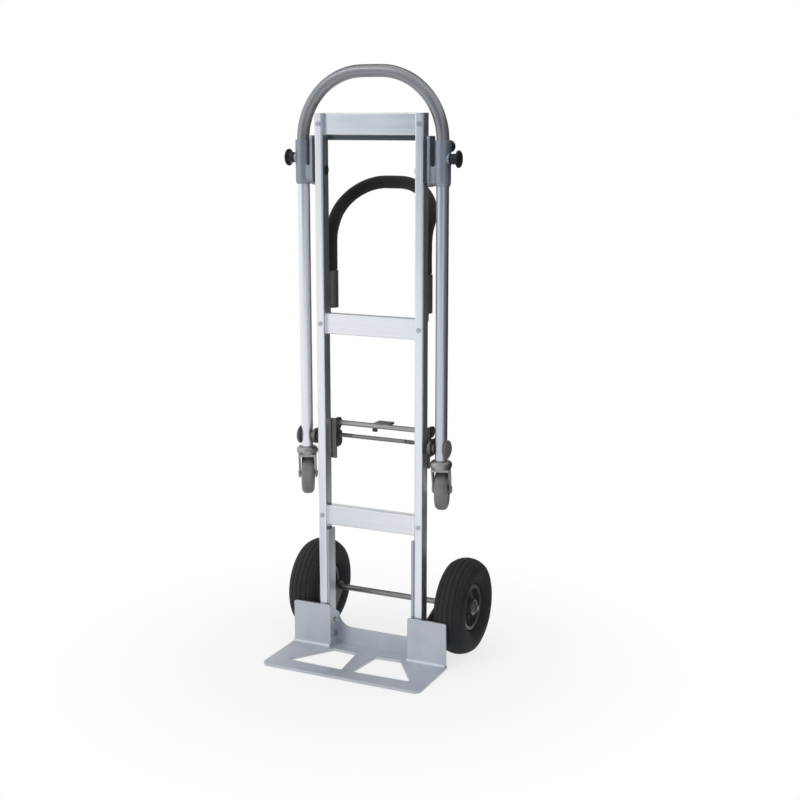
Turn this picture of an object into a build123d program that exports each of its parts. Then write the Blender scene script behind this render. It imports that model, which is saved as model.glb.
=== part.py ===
from build123d import *
from math import cos, radians, sin, sqrt

# Folding hand truck. Sizes in mm. X runs across the truck, +Y points to the user behind it, Z is up.
# The origin lies on the floor, below the middle of the rails' front faces.

# Clearances
RUN_GAP = 0.06          # radial, turning and sliding fits
SEAT_GAP = 0.3          # radial, fixed pieces in their holes
FACE_GAP = 0.5          # between flat faces that pass each other
CUT = 1.0               # overshoot of cuts and overlap of shapes that join

# Toe plate
TOE_THICK = 7.0
TOE_HALF_WIDTH = 228.0
TOE_FRONT = -188.0
TOE_CORNER = 18.0
WINDOW = [(14.0, -141.0), (28.0, -24.0), (100.0, -19.0), (182.0, -136.0)]
WINDOW_CORNER = 5.0
EAR_FRONT = -10.0
EAR_THICK = 6.0
EAR_TOP = 124.0
EAR_INSET = 2.0
EAR_CORNER = 5.0
EAR_FOOT_RADIUS = 8.0
WALL_THICK = 6.0
FLANGE_HEIGHT = 50.0
FLANGE_THICK = 8.0
FLANGE_SWEEP = 38.0

# Rails and doublers
RAIL_SPACING = 282.0
RAIL_WIDTH = 24.0
RAIL_DEPTH = 36.0
RAIL_WALL = 3.0
RAIL_CORNER = 5.0
RAIL_INNER_CORNER = 1.5
RAIL_DROP = 119.0       # from the loop's top down to the rails' tops
DOUBLER_THICK = 8.0
DOUBLER_BRACE_GAP = 12.0
DOUBLER_CORNER = 2.0

# Cross braces
BRACE_HEIGHT = 54.0
BRACE_DEPTH = 22.0
BRACE_WALL = 3.0
BRACE_SETBACK = 12.0
BRACE_CORNER = 2.5
MIDDLE_BRACE_TOP = 920.0
LOWER_BRACE_TOP = 400.0
TOP_BRACE_SKIRT = 14.0
TONGUE_HEIGHT = 30.0
TONGUE_THICK = 6.0
TONGUE_ROOT = 30.0
RIVET_RADIUS = 3.0
RIVET_HEAD_RADIUS = 6.0
RIVET_HEAD = 2.5

# Bolts through the rails' feet
BOLT_RADIUS = 4.0
BOLT_HEAD_RADIUS = 7.0
BOLT_HEAD = 4.5
NUT_RADIUS = 8.0
NUT_HEIGHT = 6.0
TOE_BOLT_HEIGHTS = (36.0, 76.0)

# Wheels and axle
WHEEL_RADIUS = 130.0
WHEEL_REACH = 65.5      # wheel's middle beyond the rail's outer side
WHEEL_EAR_GAP = 2.0
TYRE_WIDTH = 84.0
TYRE_WALL = 8.0
TREAD_EDGE = 36.0
TREAD_DROP = 13.0
TREAD_GROOVE = 3.0
TREAD_GROOVE_PITCH = 14.0
RIM_RADIUS = 56.0
RIM_HALF_WIDTH = 27.0
RIM_WALL = 4.0
RIM_LIP = 6.0
LIP_GAP = 1.0
LIP_EDGE = 1.4
RIM_DISC = 5.0
RIM_DISH = 8.0
HUB_EDGE = 1.5
HUB_RADIUS = 22.0
HUB_BORE_GAP = 2.0
HUB_HALF_LENGTH = 32.0
BEARING_RADIUS = 17.5
BEARING_WIDTH = 11.0
AXLE_RADIUS = 8.0
AXLE_OVERHANG = 5.0
WASHER_RADIUS = 15.0
WASHER_THICK = 3.0
COTTER_RADIUS = 2.0
COTTER_LENGTH = 27.0
BRACKET_THICK = 6.0
BRACKET_BOSS_RADIUS = 17.0
BRACKET_BOSS_LENGTH = 16.0
BRACKET_FOOT_WIDTH = 30.0
BRACKET_FOOT_BOTTOM = 16.0
BRACKET_FOOT_TOP = 104.0

# Loop handle and leg tubes
LEG_REACH = 43.0        # leg tube beyond the rail's outer side
HANDLE_Y = 22.0
TUBE_RADIUS = 16.0
TUBE_WALL = 2.5
LOOP_TOP = 1552.0
LOOP_BEND = 171.0
JOINT_RISE = 10.0       # tube joint above the pivot
SPIGOT_LENGTH = 76.0

# Pivot plates, pins and castings
PIVOT_Y = 18.0
PIVOT_DROP = 143.0      # below the rails' tops; heights that follow are from the pivot
PIVOT_RADIUS = 7.0
PIVOT_HEAD_RADIUS = 12.0
PIVOT_HEAD = 2.5
PIVOT_DEPTH = 14.0
PLATE_THICK = 6.0
PLATE_WIDTH = 34.0
PLATE_BELOW = 32.0
PLATE_ABOVE = 84.0
PLATE_CORNER = 8.0
CHEEK_THICK = 8.4
CHEEK_WIDTH = 36.0
CHEEK_BELOW = 38.0
CHEEK_ABOVE = 87.0
CHEEK_CORNER = 6.0
BUSH_WALL = 2.0
SLEEVE_WALL = 2.5
SLEEVE_LIP = 0.5
SLEEVE_BELOW = 36.0
SLEEVE_ABOVE = 76.0
SLEEVE_TAPER = 9.0
SLOT_RISE = 12.0
SLOT_RADIUS = 7.0
WEB_WIDTH = 30.0
WEB_INSET = 2.0
LOWER_BUSH_LENGTH = 38.0
UPPER_BUSH_LENGTH = 6.0

# Pull knobs: a pin that slides in a barrel screwed into the casting
SIDE_KNOB_RISE = 31.0
REAR_KNOB_RISE = 61.0
SIDE_KNOB_RADIUS = 21.5
SIDE_KNOB_LENGTH = 6.0
REAR_KNOB_RADIUS = 15.5
REAR_KNOB_LENGTH = 6.0
KNOB_WALL = 1.3
KNOB_NECK = 12.0
KNOB_FLARE = 5.0
KNOB_HOLLOW = 1.2
KNOB_ROOF = 1.0
KNOB_EDGE = 2.5
KNOB_TRAVEL = 6.0
PIN_RADIUS = 4.0
PIN_COLLAR_RADIUS = 6.4
PIN_COLLAR = 2.0
BARREL_RADIUS = 11.8
COLLAR_GAP = 0.6
BARREL_CAP = 2.0
BARREL_SEAT = 0.4
BOSS_WALL = 2.7
BOSS_RISE = 0.5
PIN_TIP_GAP = 0.6
KNOB_SPRING_LENGTH = 3.6
KNOB_SPRING_WIRE = 0.4
KNOB_SPRING_TURNS = 2
KNOB_SPRING_PLAY = 0.5
SPRING_END_GAP = 0.1

# Latch behind the rails
LATCH_FOOT_GAP = 2.0
LATCH_SPACING = 34.0
LATCH_SHAFT_RADIUS = 7.0
LATCH_ROD_RADIUS = 5.5
LATCH_PIN_RADIUS = 4.2
LATCH_TIP_GAP = 3.5
LATCH_FOOT_THICK = 5.0
LATCH_CHEEK_THICK = 6.0
LATCH_IN_REACH = 13.0
LATCH_OUT_REACH = 4.0
LATCH_LOBE = 14.5
LATCH_WAIST = 9.0
LATCH_TAIL_DROP = 16.0
LATCH_FOOT_DROP = 60.0
LATCH_BOLT_OFFSETS = (-26.0, 17.0)
SMALL_BOLT_RADIUS = 3.0
SMALL_HEAD_RADIUS = 6.0
SMALL_HEAD = 4.0
CAM_COLLAR_GAP = 8.3
CAM_COLLAR_RADIUS = 15.0
CAM_COLLAR = 4.0
CAM_HUB_RADIUS = 11.0
CAM_WIDTH = 20.0
CAM_THIN = 1.5
CAM_THICK = 13.0
CAM_ANGLE = 40.0
CAM_CLEAR = 8.0
SPRING_WIRE = 0.8
SPRING_LENGTH = 39.0
SPRING_TURNS = 7
PEDAL_WIDTH = 44.0
PEDAL_LENGTH = 50.0
PEDAL_THICK = 6.0
PEDAL_RISE = 4.0
PEDAL_TAB_WIDTH = 13.0
PEDAL_TAB_BELOW = 18.0
PEDAL_TAB_THICK = 5.0

# Lugs, studs and casters at the feet of the leg tubes
LUG_REACH = 11.0
LUG_THICK = 8.0
LUG_RADIUS = 20.0
LUG_BOSS_RADIUS = 12.0
STUD_RADIUS = 6.0
STUD_RISE = 30.0
STUD_HEAD_RADIUS = 10.0
STUD_HEAD = 2.0
STUD_CAP_RADIUS = 24.0
STUD_CAP = 10.5
STUD_CAP_EDGE = 3.0
SLIDE_MARGIN = 10.0
STEM_LENGTH = 56.0
CASTER_HEAD_RADIUS = 29.0
HEAD_NECK_RADIUS = 20.9
HEAD_HEIGHT = 20.0
HEAD_RIM = 7.0
HEAD_CHAMFER = 2.0
CASTER_HEAD_BOTTOM = 536.0
LEFT_CASTER_HEADING = 27.0
RIGHT_CASTER_HEADING = 17.0
CASTER_TRAIL = 30.0
CASTER_RADIUS = 55.0
CASTER_WIDTH = 34.0
CASTER_CROWN_GAP = 3.0
CASTER_CORE_RADIUS = 40.0
CASTER_CORE_WIDTH = 27.0
CASTER_HUB_RADIUS = 13.0
CASTER_HUB_WIDTH = 37.0
CASTER_AXLE_RADIUS = 5.0
AXLE_HEAD_RADIUS = 8.0
AXLE_HEAD = 2.5
CASTER_EDGE = 13.0
FORK_THICK = 4.0
FORK_HUB_GAP = 1.5
FORK_CROWN = 6.0
FORK_CROWN_FRONT = 24.0
FORK_CROWN_BACK = 26.0
FORK_EYE_RADIUS = 12.0
KINGPIN_RADIUS = 8.0
KINGPIN_RIM_RADIUS = 11.0
KINGPIN_RIM = 3.5
HEAD_BULGE = 2.5

# Rear loop handle with its foam grip
REAR_LEG_INSET = 5.5
REAR_TUBE_RADIUS = 12.0
REAR_TUBE_WALL = 2.0
FOAM_RADIUS = 17.0
REAR_LEG_RISE = 7.0
REAR_LEG_LENGTH = 72.0
REAR_BEND_RADIUS = 90.0
REAR_LEAN = 37.0
REAR_ARCH_RADIUS = 119.0
REAR_ARCH_RISE = 8.0
SOCKET_RADIUS = 18.5
SOCKET_RISE = 11.0      # above the middle brace's top
SOCKET_HEIGHT = 98.0
SOCKET_TAIL_LENGTH = 19.0
SOCKET_TAIL_WIDTH = 20.0
SOCKET_FOOT_THICK = 6.0
SOCKET_BOLT_RISES = (24.0, 75.0)
SPOT_FACE = 1.0
SPOT_FACE_RADIUS = 8.0

# Places that follow from the sizes above
RAIL_TOP = LOOP_TOP - RAIL_DROP
PIVOT_Z = RAIL_TOP - PIVOT_DROP
TUBE_JOINT = PIVOT_Z + JOINT_RISE
PLATE_BOTTOM = PIVOT_Z - PLATE_BELOW
PLATE_TOP = PIVOT_Z + PLATE_ABOVE
CHEEK_BOTTOM = PIVOT_Z - CHEEK_BELOW
CHEEK_TOP = PIVOT_Z + CHEEK_ABOVE
SLEEVE_BOTTOM = PIVOT_Z - SLEEVE_BELOW
SLEEVE_TOP = PIVOT_Z + SLEEVE_ABOVE
SLOT_BOTTOM = PIVOT_Z + SLOT_RISE
SIDE_KNOB_Z = PIVOT_Z + SIDE_KNOB_RISE
REAR_KNOB_Z = PIVOT_Z + REAR_KNOB_RISE
RAIL_X = RAIL_SPACING / 2
RAIL_IN = RAIL_X - RAIL_WIDTH / 2
RAIL_OUT = RAIL_X + RAIL_WIDTH / 2
RAIL_MID_Y = RAIL_DEPTH / 2
EAR_BACK = EAR_FRONT + EAR_THICK
EAR_OUTER_X = TOE_HALF_WIDTH - EAR_INSET
LEG_X = RAIL_OUT + LEG_REACH
WHEEL_X = RAIL_OUT + WHEEL_REACH
AXLE_Y = EAR_BACK + WHEEL_EAR_GAP + WHEEL_RADIUS
LEG_BOTTOM = CASTER_HEAD_BOTTOM + HEAD_HEIGHT
STUD_Z = LEG_BOTTOM + STUD_RISE
LATCH_PIN_Z = STUD_Z
LATCH_SHAFT_Z = LATCH_PIN_Z + LATCH_SPACING
LATCH_TAIL_Z = LATCH_PIN_Z - LATCH_TAIL_DROP
LATCH_Y = RAIL_DEPTH + LATCH_FOOT_THICK + CAM_COLLAR_RADIUS + LATCH_FOOT_GAP
LATCH_INNER_X = RAIL_IN - LATCH_IN_REACH
LATCH_OUTER_X = RAIL_OUT + LATCH_OUT_REACH
LATCH_SHOULDER_X = LATCH_INNER_X - SPRING_LENGTH
LUG_X = RAIL_OUT + LUG_REACH
LATCH_PIN_TIP = LUG_X - LATCH_TIP_GAP
DOUBLER_TOP = LOWER_BRACE_TOP - BRACE_HEIGHT - DOUBLER_BRACE_GAP
SLEEVE_BORE = TUBE_RADIUS + BUSH_WALL
SLEEVE_RADIUS = SLEEVE_BORE + SLEEVE_WALL
BARREL_FLOOR = SLEEVE_BORE + BARREL_SEAT
BARREL_CHAMBER = PIN_COLLAR_RADIUS + COLLAR_GAP
BOSS_RADIUS = BARREL_RADIUS + BOSS_WALL
BOSS_REACH = SLEEVE_RADIUS + BOSS_RISE
KNOB_BORE = BARREL_RADIUS + SEAT_GAP
KNOB_NECK_RADIUS = KNOB_BORE + KNOB_WALL
REAR_LEG_X = RAIL_X - REAR_LEG_INSET
SOCKET_BOTTOM = MIDDLE_BRACE_TOP + SOCKET_RISE
SOCKET_TOP = SOCKET_BOTTOM + SOCKET_HEIGHT
SOCKET_TAIL = SOCKET_BOTTOM - SOCKET_TAIL_LENGTH
REAR_LEG_BOTTOM = SOCKET_BOTTOM + REAR_LEG_RISE
REAR_BEND_Z = SOCKET_TOP + REAR_LEG_LENGTH
DOUBLER_IN = RAIL_IN - DOUBLER_THICK
WALL_IN = DOUBLER_IN - WALL_THICK
WALL_BACK = RAIL_DEPTH + FLANGE_THICK
BRACE_TOPS = (RAIL_TOP, MIDDLE_BRACE_TOP, LOWER_BRACE_TOP)
TONGUE_FRONT = BRACE_SETBACK + BRACE_WALL
TONGUE_END = RAIL_X + RIVET_RADIUS + RAIL_WALL
AXLE_Z = WHEEL_RADIUS
BRACKET_OUT = RAIL_OUT + BRACKET_THICK
TOE_BOLTS = [(RAIL_MID_Y, z) for z in TOE_BOLT_HEIGHTS]
WASHER_SEAT = HUB_HALF_LENGTH + FACE_GAP
COTTER_SEAT = WASHER_SEAT + WASHER_THICK + COTTER_RADIUS
AXLE_END = WHEEL_X + COTTER_SEAT + AXLE_OVERHANG
PLATE_OUT = RAIL_OUT + PLATE_THICK
CHEEK_IN = PLATE_OUT + FACE_GAP
CHEEK_OUT = CHEEK_IN + CHEEK_THICK
TUBE_BORE = TUBE_RADIUS - TUBE_WALL
LOOP_CENTRE_TOP = LOOP_TOP - TUBE_RADIUS
LOOP_BEND_Z = LOOP_CENTRE_TOP - LOOP_BEND
LOOP_FLAT = LEG_X - LOOP_BEND
SPIGOT_RADIUS = TUBE_BORE - SEAT_GAP
REAR_LEG_Y = RAIL_DEPTH + SOCKET_RADIUS + FACE_GAP
REAR_BORE = REAR_TUBE_RADIUS - REAR_TUBE_WALL
SOCKET_BACK = REAR_LEG_Y + SOCKET_RADIUS
SLIDE_STROKE = SLEEVE_BOTTOM - (STUD_Z + STUD_CAP_RADIUS) - SLIDE_MARGIN
SIDE_LOCK_HEIGHTS = (SIDE_KNOB_Z, SIDE_KNOB_Z - SLIDE_STROKE)
REAR_LOCK_HEIGHTS = (REAR_KNOB_Z, REAR_KNOB_Z - SLIDE_STROKE)
LOCK_HOLE = PIN_RADIUS + SEAT_GAP
SOCKET_BOLTS = [(REAR_LEG_X, SOCKET_BOTTOM + rise) for rise in SOCKET_BOLT_RISES]
LATCH_BOLTS = [(RAIL_X, LATCH_PIN_Z + offset) for offset in LATCH_BOLT_OFFSETS]
CROWN_TOP = CASTER_HEAD_BOTTOM - FACE_GAP
CROWN_BOTTOM = CROWN_TOP - FORK_CROWN
CASTER_AXLE_Z = CROWN_BOTTOM - CASTER_RADIUS - CASTER_CROWN_GAP
FORK_GAP = CASTER_HUB_WIDTH + 2 * FORK_HUB_GAP


def keep(piece, name):
    piece.label = name
    export_step(piece, f"parts/{name}.step")


def keep_pair(piece, name):
    """Writes a right-hand piece and its mirror image."""
    keep(piece, f"right_{name}")
    keep(mirror(piece, about=Plane.YZ), f"left_{name}")


def along_x(points, radius, start, end, mode=Mode.ADD):
    """Round rods or holes along X through (y, z) points."""
    with BuildSketch(Plane.YZ.offset(start)) as rounds:
        with Locations(*points):
            Circle(radius)
    extrude(rounds.sketch, amount=end - start, mode=mode)


def along_y(points, radius, start, end, mode=Mode.ADD):
    """Round rods or holes along Y through (x, z) points."""
    with BuildSketch(Plane.XZ.offset(-start)) as rounds:
        with Locations(*points):
            Circle(radius)
    extrude(rounds.sketch, amount=start - end, mode=mode)


def along_z(points, radius, start, end, mode=Mode.ADD):
    """Round rods or holes along Z through (x, y) points."""
    with BuildSketch(Plane.XY.offset(start)) as rounds:
        with Locations(*points):
            Circle(radius)
    extrude(rounds.sketch, amount=end - start, mode=mode)


def hex_along_x(points, radius, start, end):
    """Hexagon nuts along X at (y, z) points."""
    with BuildSketch(Plane.YZ.offset(start)) as nuts:
        with Locations(*points):
            RegularPolygon(radius, 6)
    extrude(nuts.sketch, amount=end - start)


def block(x, y, z, mode=Mode.ADD):
    """A box between two bounds on each axis."""
    with BuildSketch(Plane.XY.offset(z[0])) as base:
        with Locations(((x[0] + x[1]) / 2, (y[0] + y[1]) / 2)):
            Rectangle(x[1] - x[0], y[1] - y[0])
    extrude(base.sketch, amount=z[1] - z[0], mode=mode)


def corners(sketch, *places):
    """Vertices of a sketch at places in its own plane, on both sides of its y axis."""
    found = []
    for vertex in sketch.vertices():
        if any(abs(abs(vertex.X) - x) + abs(vertex.Y - y) < 0.01 for x, y in places):
            found.append(vertex)
    return found


# Toe plate: one half is drawn and mirrored
with BuildPart() as toe_plate:
    with BuildSketch() as floor:
        with BuildLine():
            Polyline(
                (0, TOE_FRONT),
                (TOE_HALF_WIDTH, TOE_FRONT),
                (TOE_HALF_WIDTH, EAR_BACK),
                (RAIL_OUT, EAR_BACK),
                (RAIL_OUT, WALL_BACK),
                (0, WALL_BACK),
                close=True,
            )
        make_face()
        fillet(floor.vertices().sort_by(Axis.X)[-2:].sort_by(Axis.Y)[0], TOE_CORNER)
    extrude(amount=TOE_THICK)
    with BuildSketch() as window:
        with BuildLine():
            Polyline(*WINDOW, close=True)
        make_face()
        fillet(window.vertices(), WINDOW_CORNER)
    extrude(amount=TOE_THICK, mode=Mode.SUBTRACT)
    with BuildSketch(Plane.XZ.offset(-EAR_FRONT)) as ear:
        with Locations(((WALL_IN + EAR_OUTER_X) / 2, EAR_TOP / 2)):
            Rectangle(EAR_OUTER_X - WALL_IN, EAR_TOP)
        fillet(ear.vertices().sort_by(Axis.Y)[-2:], EAR_CORNER)
    extrude(amount=-EAR_THICK)
    block((WALL_IN, RAIL_OUT), (EAR_BACK, 0), (0, EAR_TOP - EAR_CORNER))
    with BuildSketch(Plane.YZ.offset(WALL_IN)):
        with BuildLine():
            foot_back = (EAR_FRONT - EAR_FOOT_RADIUS, TOE_THICK)
            foot_top = (EAR_FRONT, TOE_THICK + EAR_FOOT_RADIUS)
            RadiusArc(foot_back, foot_top, EAR_FOOT_RADIUS)
            Polyline(foot_top, (EAR_FRONT, TOE_THICK), foot_back)
        make_face()
    extrude(amount=EAR_OUTER_X - WALL_IN)
    with BuildSketch(Plane.YZ.offset(WALL_IN)):
        with BuildLine():
            Polyline(
                (EAR_FRONT, 0),
                (WALL_BACK, 0),
                (WALL_BACK, FLANGE_HEIGHT + FLANGE_SWEEP),
                (0, EAR_TOP - EAR_CORNER),
                (EAR_FRONT, EAR_TOP - EAR_CORNER),
                close=True,
            )
        make_face()
    extrude(amount=WALL_THICK)
    with BuildSketch(Plane.XZ.offset(-RAIL_DEPTH)):
        with BuildLine():
            sweep_top = (WALL_IN, FLANGE_HEIGHT + FLANGE_SWEEP)
            sweep_end = (WALL_IN - FLANGE_SWEEP, FLANGE_HEIGHT)
            Polyline((0, FLANGE_HEIGHT), (0, 0), (WALL_IN, 0), sweep_top)
            RadiusArc(sweep_top, sweep_end, FLANGE_SWEEP)
            Line(sweep_end, (0, FLANGE_HEIGHT))
        make_face()
    extrude(amount=-FLANGE_THICK)
    along_x(TOE_BOLTS, BOLT_RADIUS + SEAT_GAP, WALL_IN - CUT, DOUBLER_IN + CUT, Mode.SUBTRACT)
    mirror(about=Plane.YZ)
keep(toe_plate.part, "toe_plate")

# Rails, hollow, slotted on their inner sides for the tongues of the braces
with BuildPart() as rail:
    with BuildSketch(Plane.XY.offset(TOE_THICK)):
        with Locations((RAIL_X, RAIL_MID_Y)):
            RectangleRounded(RAIL_WIDTH, RAIL_DEPTH, RAIL_CORNER)
            RectangleRounded(
                RAIL_WIDTH - 2 * RAIL_WALL,
                RAIL_DEPTH - 2 * RAIL_WALL,
                RAIL_INNER_CORNER,
                mode=Mode.SUBTRACT,
            )
    extrude(amount=RAIL_TOP - TOE_THICK)
    for top in BRACE_TOPS:
        middle = top - BRACE_HEIGHT / 2
        block(
            (RAIL_IN - CUT, RAIL_IN + RAIL_WALL + CUT),
            (TONGUE_FRONT - SEAT_GAP, TONGUE_FRONT + TONGUE_THICK + SEAT_GAP),
            (middle - TONGUE_HEIGHT / 2 - SEAT_GAP, middle + TONGUE_HEIGHT / 2 + SEAT_GAP),
            Mode.SUBTRACT,
        )
        along_y([(RAIL_X, middle)], RIVET_RADIUS + SEAT_GAP, -CUT, RAIL_DEPTH + CUT, Mode.SUBTRACT)
    along_x(TOE_BOLTS, BOLT_RADIUS + SEAT_GAP, RAIL_IN - CUT, RAIL_OUT + CUT, Mode.SUBTRACT)
    pivot = [(PIVOT_Y, PIVOT_Z)]
    along_x(pivot, PIVOT_RADIUS + SEAT_GAP, RAIL_IN - CUT, RAIL_OUT + CUT, Mode.SUBTRACT)
    back_bolts = SOCKET_BOLTS + LATCH_BOLTS
    back = RAIL_DEPTH - RAIL_WALL
    along_y(back_bolts, SMALL_BOLT_RADIUS + SEAT_GAP, back - CUT, RAIL_DEPTH + CUT, Mode.SUBTRACT)
keep_pair(rail.part, "rail")

with BuildPart() as doublers:
    with BuildSketch(Plane.XY.offset(TOE_THICK)):
        with Locations((RAIL_IN - DOUBLER_THICK / 2, RAIL_MID_Y)):
            RectangleRounded(DOUBLER_THICK, RAIL_DEPTH, DOUBLER_CORNER)
    extrude(amount=DOUBLER_TOP - TOE_THICK)
    along_x(TOE_BOLTS, BOLT_RADIUS + SEAT_GAP, DOUBLER_IN - CUT, RAIL_IN + CUT, Mode.SUBTRACT)
    mirror(about=Plane.YZ)
keep(doublers.part, "rail_doublers")


# Braces: channels open to the back, with a tongue at each end that enters the rail
def brace(top, skirt):
    with BuildPart() as piece:
        with BuildSketch(Plane.YZ) as section:
            with Locations((BRACE_SETBACK + BRACE_DEPTH / 2, top - BRACE_HEIGHT / 2)):
                Rectangle(BRACE_DEPTH, BRACE_HEIGHT)
            fillet(section.vertices().sort_by(Axis.X)[:2], BRACE_CORNER)
            with Locations((BRACE_SETBACK + BRACE_DEPTH / 2 + BRACE_WALL, top - BRACE_HEIGHT / 2)):
                Rectangle(BRACE_DEPTH, BRACE_HEIGHT - 2 * BRACE_WALL, mode=Mode.SUBTRACT)
        extrude(amount=RAIL_IN, both=True)
        middle = top - BRACE_HEIGHT / 2
        for side in (-1, 1):
            block(
                sorted((side * (RAIL_IN - TONGUE_ROOT), side * TONGUE_END)),
                (TONGUE_FRONT, TONGUE_FRONT + TONGUE_THICK),
                (middle - TONGUE_HEIGHT / 2, middle + TONGUE_HEIGHT / 2),
            )
        if skirt:
            block(
                (-RAIL_IN, RAIL_IN),
                (BRACE_SETBACK + BRACE_DEPTH - BRACE_WALL, BRACE_SETBACK + BRACE_DEPTH),
                (top - BRACE_HEIGHT - skirt, top - BRACE_HEIGHT + BRACE_WALL),
            )
        tongues = [(-RAIL_X, middle), (RAIL_X, middle)]
        along_y(tongues, RIVET_RADIUS + SEAT_GAP, 0, RAIL_DEPTH, Mode.SUBTRACT)
    return piece.part


keep(brace(RAIL_TOP, TOP_BRACE_SKIRT), "top_cross_brace")
keep(brace(MIDDLE_BRACE_TOP, 0), "middle_cross_brace")
keep(brace(LOWER_BRACE_TOP, 0), "lower_cross_brace")

with BuildPart() as brace_rivets:
    rivets = [(x, top - BRACE_HEIGHT / 2) for top in BRACE_TOPS for x in (-RAIL_X, RAIL_X)]
    along_y(rivets, RIVET_HEAD_RADIUS, -RIVET_HEAD, 0)
    along_y(rivets, RIVET_RADIUS, 0, RAIL_DEPTH)
    along_y(rivets, RIVET_HEAD_RADIUS, RAIL_DEPTH, RAIL_DEPTH + RIVET_HEAD)
keep(brace_rivets.part, "brace_rivets")

with BuildPart() as foot_bolt_set:
    along_x(TOE_BOLTS, BOLT_HEAD_RADIUS, WALL_IN - BOLT_HEAD, WALL_IN)
    along_x(TOE_BOLTS, BOLT_RADIUS, WALL_IN, BRACKET_OUT)
    hex_along_x(TOE_BOLTS, NUT_RADIUS, BRACKET_OUT, BRACKET_OUT + NUT_HEIGHT)
    mirror(about=Plane.YZ)
keep(foot_bolt_set.part, "rail_foot_bolts")

# Axle brackets: low gusset plates on the outer sides of the rails' feet, back to the axle
with BuildPart() as axle_bracket:
    with BuildSketch(Plane.YZ.offset(RAIL_OUT)):
        with Locations((RAIL_MID_Y, (BRACKET_FOOT_BOTTOM + BRACKET_FOOT_TOP) / 2)):
            Rectangle(BRACKET_FOOT_WIDTH, BRACKET_FOOT_TOP - BRACKET_FOOT_BOTTOM)
        with Locations((AXLE_Y, AXLE_Z)):
            Circle(BRACKET_BOSS_RADIUS)
        make_hull()
    extrude(amount=BRACKET_THICK)
    axle_point = [(AXLE_Y, AXLE_Z)]
    along_x(axle_point, BRACKET_BOSS_RADIUS, RAIL_OUT, RAIL_OUT + BRACKET_BOSS_LENGTH)
    along_x(axle_point, AXLE_RADIUS + SEAT_GAP, RAIL_IN, WHEEL_X, Mode.SUBTRACT)
    along_x(TOE_BOLTS, BOLT_RADIUS + SEAT_GAP, RAIL_IN, WHEEL_X, Mode.SUBTRACT)
keep_pair(axle_bracket.part, "axle_bracket")

COTTER_XS = [s * (WHEEL_X + t * COTTER_SEAT) for s in (-1, 1) for t in (-1, 1)]
with BuildPart() as axle:
    along_x(axle_point, AXLE_RADIUS, -AXLE_END, AXLE_END)
    cotters = [(x, AXLE_Y) for x in COTTER_XS]
    low = AXLE_Z - AXLE_RADIUS - CUT
    high = AXLE_Z + AXLE_RADIUS + CUT
    along_z(cotters, COTTER_RADIUS + SEAT_GAP, low, high, Mode.SUBTRACT)
keep(axle.part, "axle")

with BuildPart() as axle_washers:
    for start in (WHEEL_X - WASHER_SEAT - WASHER_THICK, WHEEL_X + WASHER_SEAT):
        along_x(axle_point, WASHER_RADIUS, start, start + WASHER_THICK)
    along_x(axle_point, AXLE_RADIUS + SEAT_GAP, 0, AXLE_END, Mode.SUBTRACT)
    mirror(about=Plane.YZ)
keep(axle_washers.part, "axle_washers")

with BuildPart() as axle_cotters:
    along_z(cotters, COTTER_RADIUS, AXLE_Z - COTTER_LENGTH / 2, AXLE_Z + COTTER_LENGTH / 2)
keep(axle_cotters.part, "axle_cotter_pins")

# Main wheels, turned about the axle; local x runs along the axle and local y outward
WHEEL_PLANE = Plane(origin=(WHEEL_X, AXLE_Y, AXLE_Z), x_dir=(1, 0, 0), z_dir=(0, -1, 0))
WHEEL_AXIS = Axis((WHEEL_X, AXLE_Y, AXLE_Z), (1, 0, 0))
BEAD = RIM_RADIUS + SEAT_GAP
BEAD_TOP = RIM_RADIUS + RIM_LIP + LIP_GAP
BEAD_HALF = RIM_HALF_WIDTH - RIM_WALL - SEAT_GAP
SHOULDER = WHEEL_RADIUS - TREAD_DROP
BULGE = (BEAD_TOP + SHOULDER) / 2
CROWN_RADIUS = (TREAD_EDGE ** 2 + TREAD_DROP ** 2) / (2 * TREAD_DROP)


def crown_height(x):
    """Radius of the tread's crown at a distance from the tyre's middle."""
    return WHEEL_RADIUS - CROWN_RADIUS + sqrt(CROWN_RADIUS ** 2 - x ** 2)


with BuildPart() as tyre:
    with BuildSketch(WHEEL_PLANE):
        with BuildLine():
            Polyline(
                (-BEAD_HALF, BEAD_TOP),
                (-BEAD_HALF, BEAD),
                (BEAD_HALF, BEAD),
                (BEAD_HALF, BEAD_TOP),
            )
            ThreePointArc((BEAD_HALF, BEAD_TOP), (TYRE_WIDTH / 2, BULGE), (TREAD_EDGE, SHOULDER))
            ThreePointArc((TREAD_EDGE, SHOULDER), (0, WHEEL_RADIUS), (-TREAD_EDGE, SHOULDER))
            ThreePointArc((-TREAD_EDGE, SHOULDER), (-TYRE_WIDTH / 2, BULGE), (-BEAD_HALF, BEAD_TOP))
        make_face()
        with BuildLine():
            half = BEAD_HALF - TYRE_WALL
            edge = TREAD_EDGE - TYRE_WALL
            inner_top = SHOULDER - TYRE_WALL / 2
            base = BEAD + TYRE_WALL
            Line((-half, base), (half, base))
            ThreePointArc((half, base), (TYRE_WIDTH / 2 - TYRE_WALL, BULGE), (edge, inner_top))
            ThreePointArc((edge, inner_top), (0, WHEEL_RADIUS - TYRE_WALL), (-edge, inner_top))
            ThreePointArc((-edge, inner_top), (TYRE_WALL - TYRE_WIDTH / 2, BULGE), (-half, base))
        make_face(mode=Mode.SUBTRACT)
        for n in (-1.5, -0.5, 0.5, 1.5):
            x = TREAD_GROOVE_PITCH * n
            with Locations((x, crown_height(x))):
                Rectangle(TREAD_GROOVE, 2 * TREAD_GROOVE, mode=Mode.SUBTRACT)
    revolve(axis=WHEEL_AXIS)
keep_pair(tyre.part, "tyre")

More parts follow.
